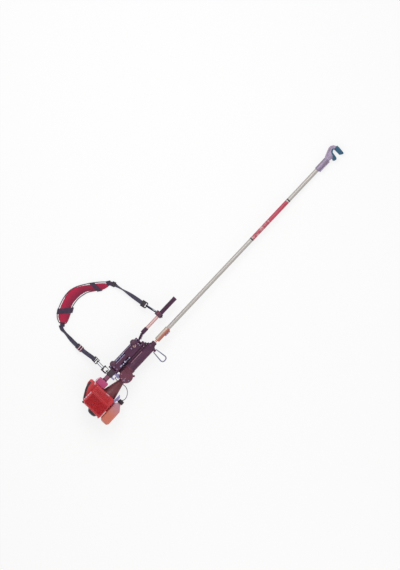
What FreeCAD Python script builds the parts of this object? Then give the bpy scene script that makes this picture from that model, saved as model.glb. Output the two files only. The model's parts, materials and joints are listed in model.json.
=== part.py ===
"""Petrol hook shaker: a long hooked pole driven to and fro by a small engine, with a sprung
handle and a shoulder strap. The tool is laid down on its side.

Tool frame, in mm: the pole's axis is Y, its lower end is the origin and the hook is at +Y.
X points to the fuel tank's side and Z to the muffler's side. The tool lies on the flat foot of its
air filter and on the hook's head, so every piece of it is turned by LEAN about X at the end.
"""
import FreeCAD
import Part
import math
import os

V = FreeCAD.Vector
X_AXIS, Y_AXIS, Z_AXIS = V(1, 0, 0), V(0, 1, 0), V(0, 0, 1)

# ---- driving dimensions -------------------------------------------------------------------
RUN = 0.05            # radial clearance of a running fit
GAP = 0.5             # clearance between parts that pass each other
SEAT = 0.3            # clearance of soft parts

POLE_LENGTH = 1480.0  # from the mouth of the coupling to the end inside the hook
POLE_INSET = 50.0     # length of the pole inside the coupling
POLE_R = 14.0
POLE_WALL = 2.0

HOOK_NECK = 92.0      # length of the head's neck up to the fork
HOOK_SOCKET = 54.0    # depth of the pole in the neck
HOOK_SOCKET_WALL = 4.5
HOOK_HALF = 15.0      # half thickness of the cast head
LINER_HALF = 19.0     # half thickness of the rubber liners
MOUTH = 24.0          # free width between the liners at the throat
ARM_REACH = 54.0      # reach of the upper arm from the pole's axis
JAW_REACH = 45.0      # reach of the lower jaw

COUPLING_LENGTH = 108.0
COUPLING_R = 18.5
ROD_R = 8.0
STROKE = 36.0

CYL_TOP = -165.0      # front end of the guide cylinder
CYL_END = -372.0
CYL_R = 32.0
CYL_WALL = 5.0
GLAND_R = 17.5
GLAND_LENGTH = 30.0
BUSH_LENGTH = 34.0

DRIVE_X = 16.0        # crank and engine axes lie to the tank's side of the pole
MOTOR_Z = -28.0       # engine axis below the pole's axis
CRANK_Y = -429.0
CHAMBER_R = 45.0
CHAMBER_WALL = 4.0
CHAMBER_TOP = 28.0
CROWN_TEETH = 33
PINION_TEETH = 11
CROWN_R = 32.0        # mean pitch radius of the crown gear
TOOTH = 2.4           # tooth height
FACE = 11.0           # width of the teeth
TOOTH_SHARE = 0.34    # tooth width over pitch

CONE_TOP = -488.0
CONE_END = -594.0
CONE_R1 = 23.0
CONE_R2 = 49.5
CONE_WALL = 3.5
DRUM_R = 36.0
DRUM_LENGTH = 26.0

ENGINE_LEFT = -110.0  # side of the engine that lies on the ground
GUARD_TOP = 74.0
CASE_FRONT = -622.0
CASE_LENGTH = 74.0
BORE_R = 20.0
CYLINDER_TOP_X = -96.0
FLYWHEEL_R = 52.0
PULLEY_R = 28.0

RAIL_X = -101.0       # outer guide rail of the sprung handle
INNER_RAIL_X = -52.0
RAIL_R = 6.0
HANDLE_PLAY = 5.0     # travel of the handle each way
GRIP_R = 15.0
GRIP_LENGTH = 137.0
TUBE_R = 11.0
HANDLE_X = -103.0

WEB_WIDTH = 28.0
WEB_THICK = 2.5
PAD_WIDTH = 78.0
PAD_THICK = 20.0

# ---- where the tool lies -------------------------------------------------------------------
HOOK_BASE = POLE_LENGTH - HOOK_SOCKET
FORK = HOOK_BASE + HOOK_NECK
HEAD_Y = FORK + 118
ENGINE_EDGE = -585.0  # front edge of the engine's low side
LEAN = math.degrees(math.atan((-ENGINE_LEFT - LINER_HALF) / (HEAD_Y - ENGINE_EDGE)))
FLOOR = ENGINE_LEFT * math.cos(math.radians(LEAN)) - ENGINE_EDGE * math.sin(math.radians(LEAN))

nodes = {}


def below_ground():
    """Everything under the ground, seen from the tool; it gives the low side a flat foot."""
    ground = Part.makeBox(600, 1800, 60, V(-300, -900, FLOOR - 60))
    ground.rotate(V(0, 0, 0), X_AXIS, LEAN)
    return ground


def add(name, *shapes):
    """Keep the solids of one piece of the tool, turned to where it lies."""
    solids = []
    for shape in shapes:
        turned = shape.copy()
        turned.rotate(V(0, 0, 0), X_AXIS, -LEAN)
        solids.extend(turned.Solids)
    nodes.setdefault(name, []).extend(solids)


def add_on_floor(name, *shapes):
    """Keep solids that are already given where they lie."""
    for shape in shapes:
        nodes.setdefault(name, []).extend(shape.Solids)


def cyl(r, x, y, z, length, axis=Y_AXIS):
    return Part.makeCylinder(r, length, V(x, y, z), axis)


def tube(r_out, r_in, x, y, z, length, axis=Y_AXIS):
    return cyl(r_out, x, y, z, length, axis).cut(cyl(r_in, x, y, z, length, axis))


def box(x0, x1, y0, y1, z0, z1):
    return Part.makeBox(x1 - x0, y1 - y0, z1 - z0, V(x0, y0, z0))


def prism(points, z0, z1):
    """A plate with straight sides, given by its corners seen from above."""
    wire = Part.makePolygon([V(x, y, z0) for x, y in points + points[:1]])
    return Part.Face(wire).extrude(V(0, 0, z1 - z0))


def soften(shape, radius, keep=None):
    """Round the edges that keep(edge) picks, or bevel all of them."""
    if keep is None:
        return shape.makeChamfer(radius * 0.6, shape.Edges)
    return shape.makeFillet(radius, [e for e in shape.Edges if keep(e)])


def upright(edge):
    """True for an edge along Z."""
    if not isinstance(edge.Curve, Part.Line):
        return False
    return abs(edge.tangentAt(edge.FirstParameter).z) > 0.999


def revolve(profile, x, z):
    """Turn a profile of (radius, y) points about the line through x, z along Y."""
    wire = Part.makePolygon([V(x + r, y, z) for r, y in profile + profile[:1]])
    return Part.Face(wire).revolve(V(x, 0, z), Y_AXIS, 360)


def bent(points, bends):
    """Straight runs through the points, joined by tangent arcs of the given radii."""
    pts = [V(*p) for p in points]
    edges, start = [], pts[0]
    for i, radius in enumerate(bends, 1):
        before = (pts[i] - pts[i - 1]).normalize()
        after = (pts[i + 1] - pts[i]).normalize()
        turn = before.getAngle(after)
        setback = radius * math.tan(turn / 2)
        enter, leave = pts[i] - before * setback, pts[i] + after * setback
        middle_way = (after - before).normalize()
        middle = pts[i] + middle_way * (radius / math.cos(turn / 2) - radius)
        edges.append(Part.LineSegment(start, enter).toShape())
        edges.append(Part.Arc(enter, middle, leave).toShape())
        start = leave
    edges.append(Part.LineSegment(start, pts[-1]).toShape())
    return Part.Wire(edges)


def wire_rod(path, r):
    """A round wire along a path of lines and tangent arcs."""
    first = path.Edges[0]
    start = first.valueAt(first.FirstParameter)
    section = Part.Wire(Part.makeCircle(r, start, first.tangentAt(first.FirstParameter)))
    return path.makePipeShell([section], True, False)


# ---- pole and hook ---------------------------------------------------------------------------
COUPLING_TOP = -8.0
COUPLING_END = COUPLING_TOP - COUPLING_LENGTH
SOCKET_R = POLE_R + HOOK_SOCKET_WALL
CLAMP_EAR = 7.0       # how far a clamp's ears stand out
CLAMP_SLIT = 2.0
SCREW_R = 2.5


def clamp_ears(y0, y1, r):
    """Two ears with a slit between them, on the side of a sleeve that faces +X."""
    ears = box(r - 3, r + CLAMP_EAR, y0, y1, -8, 8)
    return soften(ears, 3, lambda e: abs(e.CenterOfMass.x - r - CLAMP_EAR) < 0.1 and upright(e))


def clamp_slit(y0, y1, r):
    return box(0, r + CLAMP_EAR + 1, y0, y1, -CLAMP_SLIT / 2, CLAMP_SLIT / 2)


def cap_screw(x, y, z, length, axis=Z_AXIS, r=SCREW_R):
    """A socket-head screw; x, y, z is the middle of the face its head sits on."""
    head = cyl(1.8 * r, x, y, z, 1.6 * r, axis)
    key = V(x, y, z) + axis * (0.8 * r)
    head = head.cut(Part.makeCylinder(0.9 * r, 0.8 * r, key, axis))
    return head.fuse(Part.makeCylinder(r, length, V(x, y, z), axis * -1))


def pole_group():
    pole = tube(POLE_R, POLE_R - POLE_WALL, 0, -POLE_INSET, 0, POLE_INSET + POLE_LENGTH)
    ear_x = SOCKET_R + CLAMP_EAR / 2
    screws = []

    neck = cyl(SOCKET_R, 0, HOOK_BASE, 0, HOOK_NECK + 6)
    neck = neck.makeChamfer(4, [e for e in neck.Edges if e.CenterOfMass.y < HOOK_BASE + 0.1
                                and isinstance(e.Curve, Part.Circle)])
    back = [(-18, 0), (-31, 33), (-44, 70), (-43, 86), (-31, 104), (-12, 112)]
    arm = [(ARM_REACH - 8, 106), (ARM_REACH - 12, 92), (-6, 92)]
    throat = [(-17, 84), (-17, 74), (-8, 60)]
    jaw = [(8, 55), (24, 50), (26, 38), (20, 24), (18, 10), (18, 0)]
    pocket = [(-22, 36), (-34, 70), (-33, 84), (-25, 96), (-20, 88), (-27, 82), (-27, 72), (-18, 56),
              (-8, 46), (-10, 28)]
    outline = [(x, FORK + y) for x, y in back + arm + throat + jaw]
    fork = soften(prism(outline, -HOOK_HALF, HOOK_HALF), 3, upright)
    for z0 in (-HOOK_HALF - 1, HOOK_HALF - 3):
        recess = prism([(x, FORK + y) for x, y in pocket], z0, z0 + 4)
        fork = fork.cut(soften(recess, 1.5, upright))
    head = neck.fuse(fork)
    head = head.fuse(clamp_ears(HOOK_BASE + 6, FORK + 6, SOCKET_R))
    head = head.cut(cyl(POLE_R, 0, HOOK_BASE - 1, 0, HOOK_SOCKET + 1))
    head = head.cut(clamp_slit(HOOK_BASE - 1, HOOK_BASE + HOOK_SOCKET, SOCKET_R))
    for y in (HOOK_BASE + 17, HOOK_BASE + 37):
        screws.append(cap_screw(ear_x, y, 8, 16))
    mouth = 62 + MOUTH
    upper = [(-14, 117), (2, 118), (ARM_REACH - 4, 112), (ARM_REACH, 105),
             (ARM_REACH - 13, mouth - 2), (-6, mouth), (-11, 92)]
    lower = [(-12, 84), (-12, 77), (-4, 65), (6, 62), (JAW_REACH - 10, 57), (JAW_REACH, 50),
             (JAW_REACH, 40), (JAW_REACH - 6, 28), (JAW_REACH - 16, 26), (20, 36), (18, 46), (6, 50),
             (-12, 58), (-22, 74), (-22, 86)]
    liners = []
    for points in (upper, lower):
        pad = prism([(x, FORK + y) for x, y in points], -LINER_HALF, LINER_HALF)
        liners.append(soften(pad, 2, upright).cut(head))

    coupling = cyl(COUPLING_R, 0, COUPLING_END, 0, COUPLING_LENGTH)
    coupling = coupling.makeChamfer(2, [e for e in coupling.Edges if isinstance(e.Curve, Part.Circle)])
    coupling = coupling.fuse(clamp_ears(COUPLING_TOP - 50, COUPLING_TOP - 6, COUPLING_R))
    coupling = coupling.cut(cyl(POLE_R, 0, -POLE_INSET, 0, POLE_INSET + 1))
    coupling = coupling.cut(clamp_slit(-POLE_INSET, 0, COUPLING_R))
    coupling = coupling.cut(cyl(ROD_R, 0, COUPLING_END - 1, 0, ROD_GRIP + 1))
    for y in (COUPLING_TOP - 17, COUPLING_TOP - 39):
        screws.append(cap_screw(COUPLING_R + CLAMP_EAR / 2, y, 8, 16))
    bores = Part.makeCompound(screws)
    add("hook_head", head.cut(bores))
    add("hook_liners", *liners)
    add("pole_tube", pole)
    add("pole_coupling", coupling.cut(bores))
    add("clamp_screws", *screws)


# ---- piston rod, crosshead and connecting rod ------------------------------------------------
ROD_GRIP = 36.0       # length of the rod screwed into the coupling
CON_LENGTH = 100.0
CON_HALF = 6.0
THROW = STROKE / 2
PIN_X = DRIVE_X - THROW
WRIST_Y = CRANK_Y + math.sqrt(CON_LENGTH ** 2 - PIN_X ** 2)
WRIST_R = 5.0
CROSSHEAD_R = CYL_R - CYL_WALL - RUN
CROSSHEAD_LENGTH = 56.0
BIG_END_R = 12.0
FORK_SLOT = 13.0      # slot of the crosshead that takes the connecting rod


def rod_group():
    top = WRIST_Y + CROSSHEAD_LENGTH - 22
    rod = cyl(ROD_R, 0, top - 12, 0, COUPLING_END + ROD_GRIP - top + 12)
    crosshead = cyl(CROSSHEAD_R, 0, top - CROSSHEAD_LENGTH, 0, CROSSHEAD_LENGTH)
    for y in (top - 10, top - 18):
        crosshead = crosshead.cut(tube(CROSSHEAD_R + 1, CROSSHEAD_R - 1.5, 0, y, 0, 3))
    slot = box(-60, 60, top - CROSSHEAD_LENGTH - 1, WRIST_Y + 12, -FORK_SLOT / 2, FORK_SLOT / 2)
    pin = cyl(WRIST_R, 0, WRIST_Y, -CROSSHEAD_R + 3, 2 * CROSSHEAD_R - 6, Z_AXIS)
    crosshead = crosshead.cut(slot).cut(rod)
    add("piston_rod", rod)
    add("crosshead", crosshead.fuse(pin))

    small = cyl(10, 0, WRIST_Y, -CON_HALF, 2 * CON_HALF, Z_AXIS)
    big = cyl(BIG_END_R, PIN_X, CRANK_Y, -CON_HALF, 2 * CON_HALF, Z_AXIS)
    shank = prism([(-6, WRIST_Y), (6, WRIST_Y), (PIN_X + 7, CRANK_Y), (PIN_X - 7, CRANK_Y)],
                  -CON_HALF + 1.5, CON_HALF - 1.5)
    con = small.fuse(big).fuse(shank)
    con = con.cut(cyl(WRIST_R + RUN, 0, WRIST_Y, -20, 40, Z_AXIS))
    con = con.cut(cyl(7, PIN_X, CRANK_Y, -20, 40, Z_AXIS))
    add("connecting_rod", con)


# ---- guide cylinder --------------------------------------------------------------------------
BAIL_Y = -177.0       # middle of the wire stand's lug
BAIL_SPREAD = 10.0
BAIL_R = 3.0
BAIL_REACH = 91.0
BAIL_FLARE = 23.0
LUG_X = CYL_R + 7.0


def rod_relief():
    """Room in the tank-side walls for the connecting rod at its widest swing."""
    depth = CYL_R - 2.0
    return box(0, depth, CYL_END - 24, CYL_END + 24, -CON_HALF - 1.0, CON_HALF + 1.0)


def cylinder_group():
    length = CYL_TOP - CYL_END
    body = cyl(CYL_R, 0, CYL_END, 0, length)
    body = body.fuse(cyl(GLAND_R + 5, 0, CYL_TOP - 1, 0, 9))
    for y in (CYL_TOP - 14, CYL_END):
        body = body.fuse(cyl(CYL_R + 3, 0, y, 0, 8))
    lug = box(CYL_R - 4, LUG_X + 6, BAIL_Y - BAIL_SPREAD + 3, BAIL_Y + BAIL_SPREAD - 3, -6, 6)
    body = body.fuse(soften(lug, 2, lambda e: e.CenterOfMass.x > LUG_X + 5))
    flange = box(-CYL_R - 8, -CYL_R + 6, CYL_END + 20, CYL_TOP - 46, -9, 9)
    body = body.fuse(flange)
    body = body.cut(cyl(CYL_R - CYL_WALL, 0, CYL_END - 1, 0, length - BUSH_LENGTH - 5))
    body = body.cut(cyl(ROD_R + 6, 0, CYL_TOP - BUSH_LENGTH - 10, 0, BUSH_LENGTH + 30))
    body = body.cut(cyl(BAIL_R + RUN, LUG_X, BAIL_Y - BAIL_SPREAD, 0, 2 * BAIL_SPREAD))
    body = body.cut(rod_relief())
    add("guide_cylinder", body)

    add("rod_bush", tube(ROD_R + 6, ROD_R + RUN, 0, CYL_TOP - BUSH_LENGTH, 0, BUSH_LENGTH))
    nut_y = CYL_TOP + 8
    nut = cyl(GLAND_R, 0, nut_y, 0, GLAND_LENGTH - 8)
    nut = soften(nut, 2, lambda e: isinstance(e.Curve, Part.Circle) and e.CenterOfMass.y > nut_y + 5)
    nut = nut.fuse(cyl(ROD_R + 6, 0, CYL_TOP, 0, 8))
    for k in range(6):
        slot = box(GLAND_R - 2, GLAND_R + 2, nut_y + 5, nut_y + GLAND_LENGTH, -3, 3)
        slot.rotate(V(0, 0, 0), Y_AXIS, 60 * k + 30)
        nut = nut.cut(slot)
    add("gland_nut", nut.cut(cyl(ROD_R + GAP, 0, CYL_TOP - 1, 0, GLAND_LENGTH + 2)))

    one_side = [(LUG_X, BAIL_Y - 3, 0), (LUG_X, BAIL_Y - BAIL_SPREAD - BAIL_R, 0),
                (LUG_X + BAIL_REACH, BAIL_Y - BAIL_FLARE, 0)]
    other_side = [(px, 2 * BAIL_Y - py, pz) for px, py, pz in reversed(one_side)]
    add("rest_bail", wire_rod(bent(one_side + other_side, [5, 17, 17, 5]), BAIL_R))


# ---- crank chamber, bevel gears and clutch cone ---------------------------------------------
CHAMBER_FLOOR = -68.0
BEARING_R = 16.0
SHAFT_R = 9.0
DRIVE_SHAFT_R = 7.0
DRIVE_BEARING_R = 14.0
NECK_R = 21.0
APEX = V(DRIVE_X, CRANK_Y, MOTOR_Z)
RATIO = CROWN_TEETH / PINION_TEETH
CROWN_BACK = -50.0
DISC_TOP = -CON_HALF - 2.0
PIN_STEP = 0.3        # the crank pin stops this far below the connecting rod


def bevel_tooth(cone_r, turn, height, width_share, outward, pitch):
    """One straight bevel tooth, tapering to the gears' common apex.

    outward is the direction from the pitch cone that the tooth stands in.
    """
    sections = []
    for scale in (1.0, (CROWN_R - FACE / 2) / (CROWN_R + FACE / 2)):
        across = turn * (pitch * width_share / 2)
        tip, root = outward * (height / 2), outward * (-height)
        corners = [cone_r + root - across * 1.2, cone_r + root + across * 1.2,
                   cone_r + tip + across * 0.7, cone_r + tip - across * 0.7]
        wire = Part.makePolygon([APEX + c * scale for c in corners + corners[:1]])
        sections.append(wire)
    return Part.makeLoft(sections, True, True)


def gears():
    """The crown gear faces +Z; the pinion lies on its -Y side and is in mesh at rest."""
    r_out = CROWN_R + FACE / 2
    pinion_out = r_out / RATIO
    slope = math.atan(1 / RATIO)
    pitch = 2 * math.pi * r_out / CROWN_TEETH
    down = V(0, -math.sin(slope), -math.cos(slope))
    contact = V(0, -r_out, -pinion_out)

    inner = (CROWN_R - FACE / 2) / r_out
    drop = TOOTH * 0.55
    profile = [(SHAFT_R, CROWN_BACK), (r_out, CROWN_BACK), (r_out, MOTOR_Z - pinion_out - drop),
               (r_out * inner, MOTOR_Z - pinion_out * inner - drop),
               (SHAFT_R, MOTOR_Z - pinion_out * inner - drop)]
    wire = Part.makePolygon([V(DRIVE_X + r, CRANK_Y, z) for r, z in profile + profile[:1]])
    crown = Part.Face(wire).revolve(V(DRIVE_X, CRANK_Y, 0), Z_AXIS, 360)
    tooth = bevel_tooth(contact, X_AXIS, TOOTH, TOOTH_SHARE, down * -1, pitch)
    teeth = []
    for k in range(CROWN_TEETH):
        copy = tooth.copy()
        copy.rotate(APEX, Z_AXIS, 360 * (k + 0.5) / CROWN_TEETH)
        teeth.append(copy)
    crown = crown.fuse(teeth)

    root = [(DRIVE_SHAFT_R * 0.9, -r_out - 1), (pinion_out - drop, -r_out - 1),
            (pinion_out * inner - drop, -r_out * inner + 1), (DRIVE_SHAFT_R * 0.9, -r_out * inner + 1)]
    wire = Part.makePolygon([APEX + V(r, y, 0) for r, y in root + root[:1]])
    pinion = Part.Face(wire).revolve(APEX, Y_AXIS, 360)
    tooth = bevel_tooth(contact, X_AXIS, TOOTH, TOOTH_SHARE, down, pitch)
    teeth = []
    for k in range(PINION_TEETH):
        copy = tooth.copy()
        copy.rotate(APEX, Y_AXIS, 360 * k / PINION_TEETH)
        teeth.append(copy)
    return crown, pinion.fuse(teeth)


DRUM_END = CONE_END - 18.0


def gearbox_group():
    x, y = DRIVE_X, CRANK_Y
    height = CHAMBER_TOP - CHAMBER_FLOOR
    body = cyl(CHAMBER_R, x, y, CHAMBER_FLOOR, height, Z_AXIS)
    body = soften(body, 5, lambda e: e.CenterOfMass.z > CHAMBER_TOP - 1)
    body = body.fuse(cyl(CYL_R, 0, y + 20, 0, CYL_END - y - 20))
    body = body.fuse(cyl(CYL_R + 3, 0, CYL_END - 10, 0, 10))
    body = body.fuse(cyl(NECK_R, x, CONE_TOP, MOTOR_Z, y - CONE_TOP))
    body = body.fuse(cyl(7, x + 36, y + 35, -8, 30, Z_AXIS))
    cavity = cyl(CHAMBER_R - CHAMBER_WALL, x, y, CHAMBER_FLOOR - 1, height - 3, Z_AXIS)
    cavity = cavity.fuse(cyl(CYL_R - CYL_WALL, 0, y + 20, 0, CYL_END - y - 19))
    body = body.cut(cavity)
    body = body.cut(cyl(DRIVE_BEARING_R, x, CONE_TOP - 1, MOTOR_Z, 14))
    body = body.cut(cyl(DRIVE_SHAFT_R + 2, x, CONE_TOP, MOTOR_Z, y - CONE_TOP)).cut(rod_relief())
    add_screws = []
    for k in range(6):
        a = math.radians(60 * k + 30)
        px, py = x + 37.0 * math.cos(a), y + 37.0 * math.sin(a)
        add_screws.append(cyl(3, px, py, CHAMBER_FLOOR - 6 - 3, 3, Z_AXIS))
    for a in (-20, 200, 250, 290):
        a = math.radians(a)
        add_screws.append(cyl(3, x + 34 * math.cos(a), y + 34 * math.sin(a), CHAMBER_TOP, 3, Z_AXIS))
    add("crank_housing", body)
    cover = cyl(CHAMBER_R, x, y, CHAMBER_FLOOR - 6, 6, Z_AXIS)
    cover = cover.fuse(cyl(BEARING_R + 5, x, y, CHAMBER_FLOOR - 1, 17, Z_AXIS))
    cover = cover.cut(cyl(BEARING_R, x, y, CHAMBER_FLOOR + 4, 20, Z_AXIS))
    cover = cover.cut(cyl(SHAFT_R + GAP, x, y, CHAMBER_FLOOR, 20, Z_AXIS))
    add("crank_cover", cover)
    crank_bearing = tube(BEARING_R, SHAFT_R + RUN, x, y, CHAMBER_FLOOR + 4, 12, Z_AXIS)
    drive_bearing = tube(DRIVE_BEARING_R, DRIVE_SHAFT_R + RUN, x, CONE_TOP, MOTOR_Z, 13)
    add("gear_bearings", crank_bearing, drive_bearing)

    crown, pinion = gears()
    shaft = cyl(SHAFT_R, x, y, CHAMBER_FLOOR + 1, DISC_TOP - CHAMBER_FLOOR - 1, Z_AXIS)
    disc = cyl(THROW + 13, x, y, DISC_TOP - 6, 6, Z_AXIS).fuse(shaft)
    disc = disc.fuse(cyl(6, PIN_X, y, DISC_TOP - 1, -CON_HALF - PIN_STEP - DISC_TOP + 1, Z_AXIS))
    add("crown_gear", crown.cut(shaft))
    add("crank_disc", disc)
    front = y - (CROWN_R - FACE / 2)
    web_y = DRUM_END + DRUM_LENGTH
    drive = cyl(DRIVE_SHAFT_R, x, web_y, MOTOR_Z, front - 2 - FACE - web_y)
    drive = drive.fuse(cyl(DRIVE_SHAFT_R * 0.9, x, front - 2 - FACE, MOTOR_Z, FACE + 2))
    add("drive_pinion", pinion.fuse(drive))

    outer = [(DRIVE_SHAFT_R + 2, CONE_TOP), (CONE_R1, CONE_TOP), (CONE_R2, CONE_END),
             (CONE_R2, CASE_FRONT), (CONE_R2 - CONE_WALL, CASE_FRONT),
             (CONE_R2 - CONE_WALL, CONE_END), (CONE_R1 - CONE_WALL, CONE_TOP - 6),
             (DRIVE_SHAFT_R + 2, CONE_TOP - 6)]
    add("clutch_cone", revolve(outer, x, MOTOR_Z))
    drum = tube(DRUM_R, DRUM_R - 2.5, x, DRUM_END, MOTOR_Z, DRUM_LENGTH)
    drum = drum.fuse(cyl(DRUM_R, x, web_y, MOTOR_Z, 3))
    for k in range(6):
        a = math.radians(60 * k)
        drum = drum.cut(cyl(5, x + 22 * math.cos(a), web_y - 1, MOTOR_Z + 22 * math.sin(a), 6))
    add("clutch_drum", drum.cut(cyl(DRIVE_SHAFT_R, x, web_y - 2, MOTOR_Z, 8)))
    return add_screws


# ---- engine ----------------------------------------------------------------------------------
CASE_END = CASE_FRONT - CASE_LENGTH
BORE_Y = (CASE_FRONT + CASE_END) / 2
CASE_TOP_X = -24.0
SHROUD_TOP = 44.0
SHROUD_LOW = -62.0
SHROUD_WALL = 3.0
FILTER_TOP = -84.0
FILTER_END = -694.0
CARB_TOP = MOTOR_Z - 40
CARB_Z = (CARB_TOP + FILTER_TOP) / 2
LEVER_X = -48.0       # choke and throttle shafts
LEVER_REACH = 14.0
FLYWHEEL_END = CASE_END - 22.0
HOUSING_R = 58.0
HOUSING_BACK = -772.0
PULLEY_Y = -738.0
ROPE_R = 1.8
GROOVE_DEPTH = 6.0
ROPE_Z = MOTOR_Z - PULLEY_R + GROOVE_DEPTH - ROPE_R - 0.1
COWL_FRONT = -548.0
COWL_BACK = -598.0
STUB_X = -70.0
STUB_R = 16.0
TANK_WALL = 2.5
CAP_X, CAP_Z, CAP_R = 107.0, -20.0, 19.0
CAP_Y = -590.0


def hollow_prism(points, z0, z1, wall, open_low=True):
    """A box-like cover with an even wall, open on its low side or closed all round."""
    outer = prism(points, z0, z1)
    base = Part.makePolygon([V(x, y, 0) for x, y in points + points[:1]])
    inset = base.makeOffset2D(-wall, 2)
    inner = Part.Face(inset)
    low = z0 - 1 if open_low else z0 + wall
    inner.translate(V(0, 0, low))
    return outer.cut(inner.extrude(V(0, 0, z1 - wall - low)))


def engine_case():
    x, z = DRIVE_X, MOTOR_Z
    case = soften(box(CASE_TOP_X, x + 40, CASE_END, CASE_FRONT, z - 40, z + 40), 12,
                  lambda e: abs(e.tangentAt(e.FirstParameter).y) > 0.99)
    case = case.fuse(cyl(CONE_R2, x, CASE_FRONT - 6, z, 6))
    case = case.fuse(box(x + 38, 80, CASE_END + 8, CASE_FRONT - 18, z - 12, z + 12))
    arm = [(66, -640), (79, -640), (79, -602), (86, -586), (84, -562), (68, -545), (66, -600)]
    case = case.fuse(prism(arm, z + 12, 12)).fuse(box(66, 79, -640, -626, z - 6, z + 13))
    case = case.cut(cyl(30, x, CASE_END + 6, z, CASE_LENGTH - 12))
    case = case.cut(cyl(8 + RUN, x, CASE_END - 1, z, CASE_LENGTH + 2))
    case = case.cut(cyl(26, CASE_TOP_X - 1, BORE_Y, z, 20, X_AXIS))
    add("crankcase", case)

    barrel = cyl(26, CYLINDER_TOP_X, BORE_Y, z, CASE_TOP_X + 14 - CYLINDER_TOP_X, X_AXIS)
    barrel = barrel.fuse(cyl(30, CASE_TOP_X - 4, BORE_Y, z, 4, X_AXIS))
    fin_x = CASE_TOP_X - 12
    while fin_x > CYLINDER_TOP_X + 2:
        barrel = barrel.fuse(cyl(36, fin_x - 2.5, BORE_Y, z, 2.5, X_AXIS))
        fin_x -= 8
    barrel = barrel.fuse(cyl(11, -60, BORE_Y, CARB_TOP, z - CARB_TOP, Z_AXIS))
    barrel = barrel.fuse(cyl(11, -46, BORE_Y, z, 44, Z_AXIS))
    barrel = barrel.cut(cyl(BORE_R, CYLINDER_TOP_X + 14, BORE_Y, z, 90, X_AXIS))
    barrel = barrel.cut(cyl(7, CYLINDER_TOP_X - 1, BORE_Y, z, 20, X_AXIS))
    barrel = barrel.cut(cyl(7, -60, BORE_Y, CARB_TOP - 1, 20, Z_AXIS))
    add("engine_cylinder", barrel)
    plug = cyl(7, CYLINDER_TOP_X - 8, BORE_Y, z, 20, X_AXIS)
    plug = plug.fuse(cyl(9, CYLINDER_TOP_X - 24, BORE_Y, z, 24, X_AXIS))
    add("spark_plug", plug.fuse(cyl(6, CYLINDER_TOP_X - 16, BORE_Y, z, 26)))
    muffler = soften(box(-76, -12, -690, -618, z + 44, 64), 8)
    muffler = muffler.fuse(cyl(6, -30, -690, 40, 10, Y_AXIS * -1))
    muffler = muffler.cut(box(-73, -15, -687, -621, z + 47, 61)).cut(cyl(4, -30, -680, 40, 22, Y_AXIS * -1))
    add("muffler", muffler)

    shaft = cyl(8, x, FLYWHEEL_END - 4, z, DRUM_END + 18 - FLYWHEEL_END)
    for side in (-1, 1):
        shaft = shaft.fuse(cyl(24, x, BORE_Y + side * 11 - 5, z, 10))
    shaft = shaft.cut(box(x - 30, x + 30, BORE_Y - 6, BORE_Y + 6, z - 30, z + 30))
    add("engine_crankshaft", shaft)
    piston_x = x - 62
    piston = cyl(BORE_R - RUN, piston_x - 17, BORE_Y, z, 34, X_AXIS)
    piston = piston.cut(cyl(15, piston_x - 9, BORE_Y, z, 30, X_AXIS))
    rod = box(piston_x - 6, x + 6, BORE_Y - 5, BORE_Y + 5, z - 6, z + 6)
    rod = rod.fuse(cyl(9, x, BORE_Y - 5, z, 10)).cut(cyl(6, x, BORE_Y - 6, z, 12))
    pin = cyl(5, piston_x, BORE_Y - 18, z, 36)
    add("engine_piston", piston.fuse(pin), rod.cut(pin))


def engine_rotor():
    x, z = DRIVE_X, MOTOR_Z
    shoes = []
    for k in range(3):
        shoe = tube(DRUM_R - 4.5, 14, x, DRUM_END + 3, z, 16)
        half = box(x - 60, x + 60, DRUM_END, DRUM_END + 30, z + 2, z + 60)
        other = half.copy()
        half.rotate(V(x, 0, z), Y_AXIS, 120 * k)
        other.rotate(V(x, 0, z), Y_AXIS, 120 * k - 60)
        shoes.append(shoe.common(half).common(other))
    hub = tube(14, 8, x, DRUM_END + 3, z, 12)
    add("clutch_shoes", hub, *shoes)
    wheel = tube(FLYWHEEL_R, 8, x, FLYWHEEL_END, z, 5)
    wheel = wheel.fuse(tube(20, 8, x, FLYWHEEL_END, z, 16))
    for k in range(12):
        blade = box(x + 24, x + FLYWHEEL_R - 2, FLYWHEEL_END + 4, FLYWHEEL_END + 18, z - 1.5, z + 1.5)
        blade.rotate(V(x, 0, z), Y_AXIS, 30 * k)
        wheel = wheel.fuse(blade)
    add("flywheel", wheel)

    back = HOUSING_BACK
    outer = [(HOUSING_R, CASE_END), (HOUSING_R, back + 34), (40, back + 22), (34, back + 15),
             (26, back + 4), (12, back), (0.01, back)]
    inner = [(0.01, back + 3), (24, back + 7), (30, back + 17), (38, back + 25),
             (HOUSING_R - 3, back + 37), (HOUSING_R - 3, CASE_END)]
    housing = revolve(outer + inner, x, z)
    spindle = cyl(6, x, back + 2, z, FLYWHEEL_END - 8 - back)
    rope_hole = cyl(ROPE_R + 1, x - HOUSING_R - 4, PULLEY_Y + 5, ROPE_Z, 30, X_AXIS)
    add("recoil_housing", housing.fuse(spindle).cut(rope_hole))
    pulley = tube(PULLEY_R, 6 + RUN, x, PULLEY_Y, z, 10)
    pulley = pulley.cut(tube(PULLEY_R + 1, PULLEY_R - GROOVE_DEPTH, x, PULLEY_Y + 2, z, 6))
    add("recoil_pulley", pulley)
    handle_x = x - HOUSING_R - 30
    rope = cyl(ROPE_R, handle_x + 4, PULLEY_Y + 5, ROPE_Z, HOUSING_R + 22, X_AXIS)
    grip = soften(box(handle_x - 10, handle_x + 8, PULLEY_Y - 13, PULLEY_Y + 23, ROPE_Z - 8, ROPE_Z + 8), 6)
    add("pull_handle", grip.fuse(rope))


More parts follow.
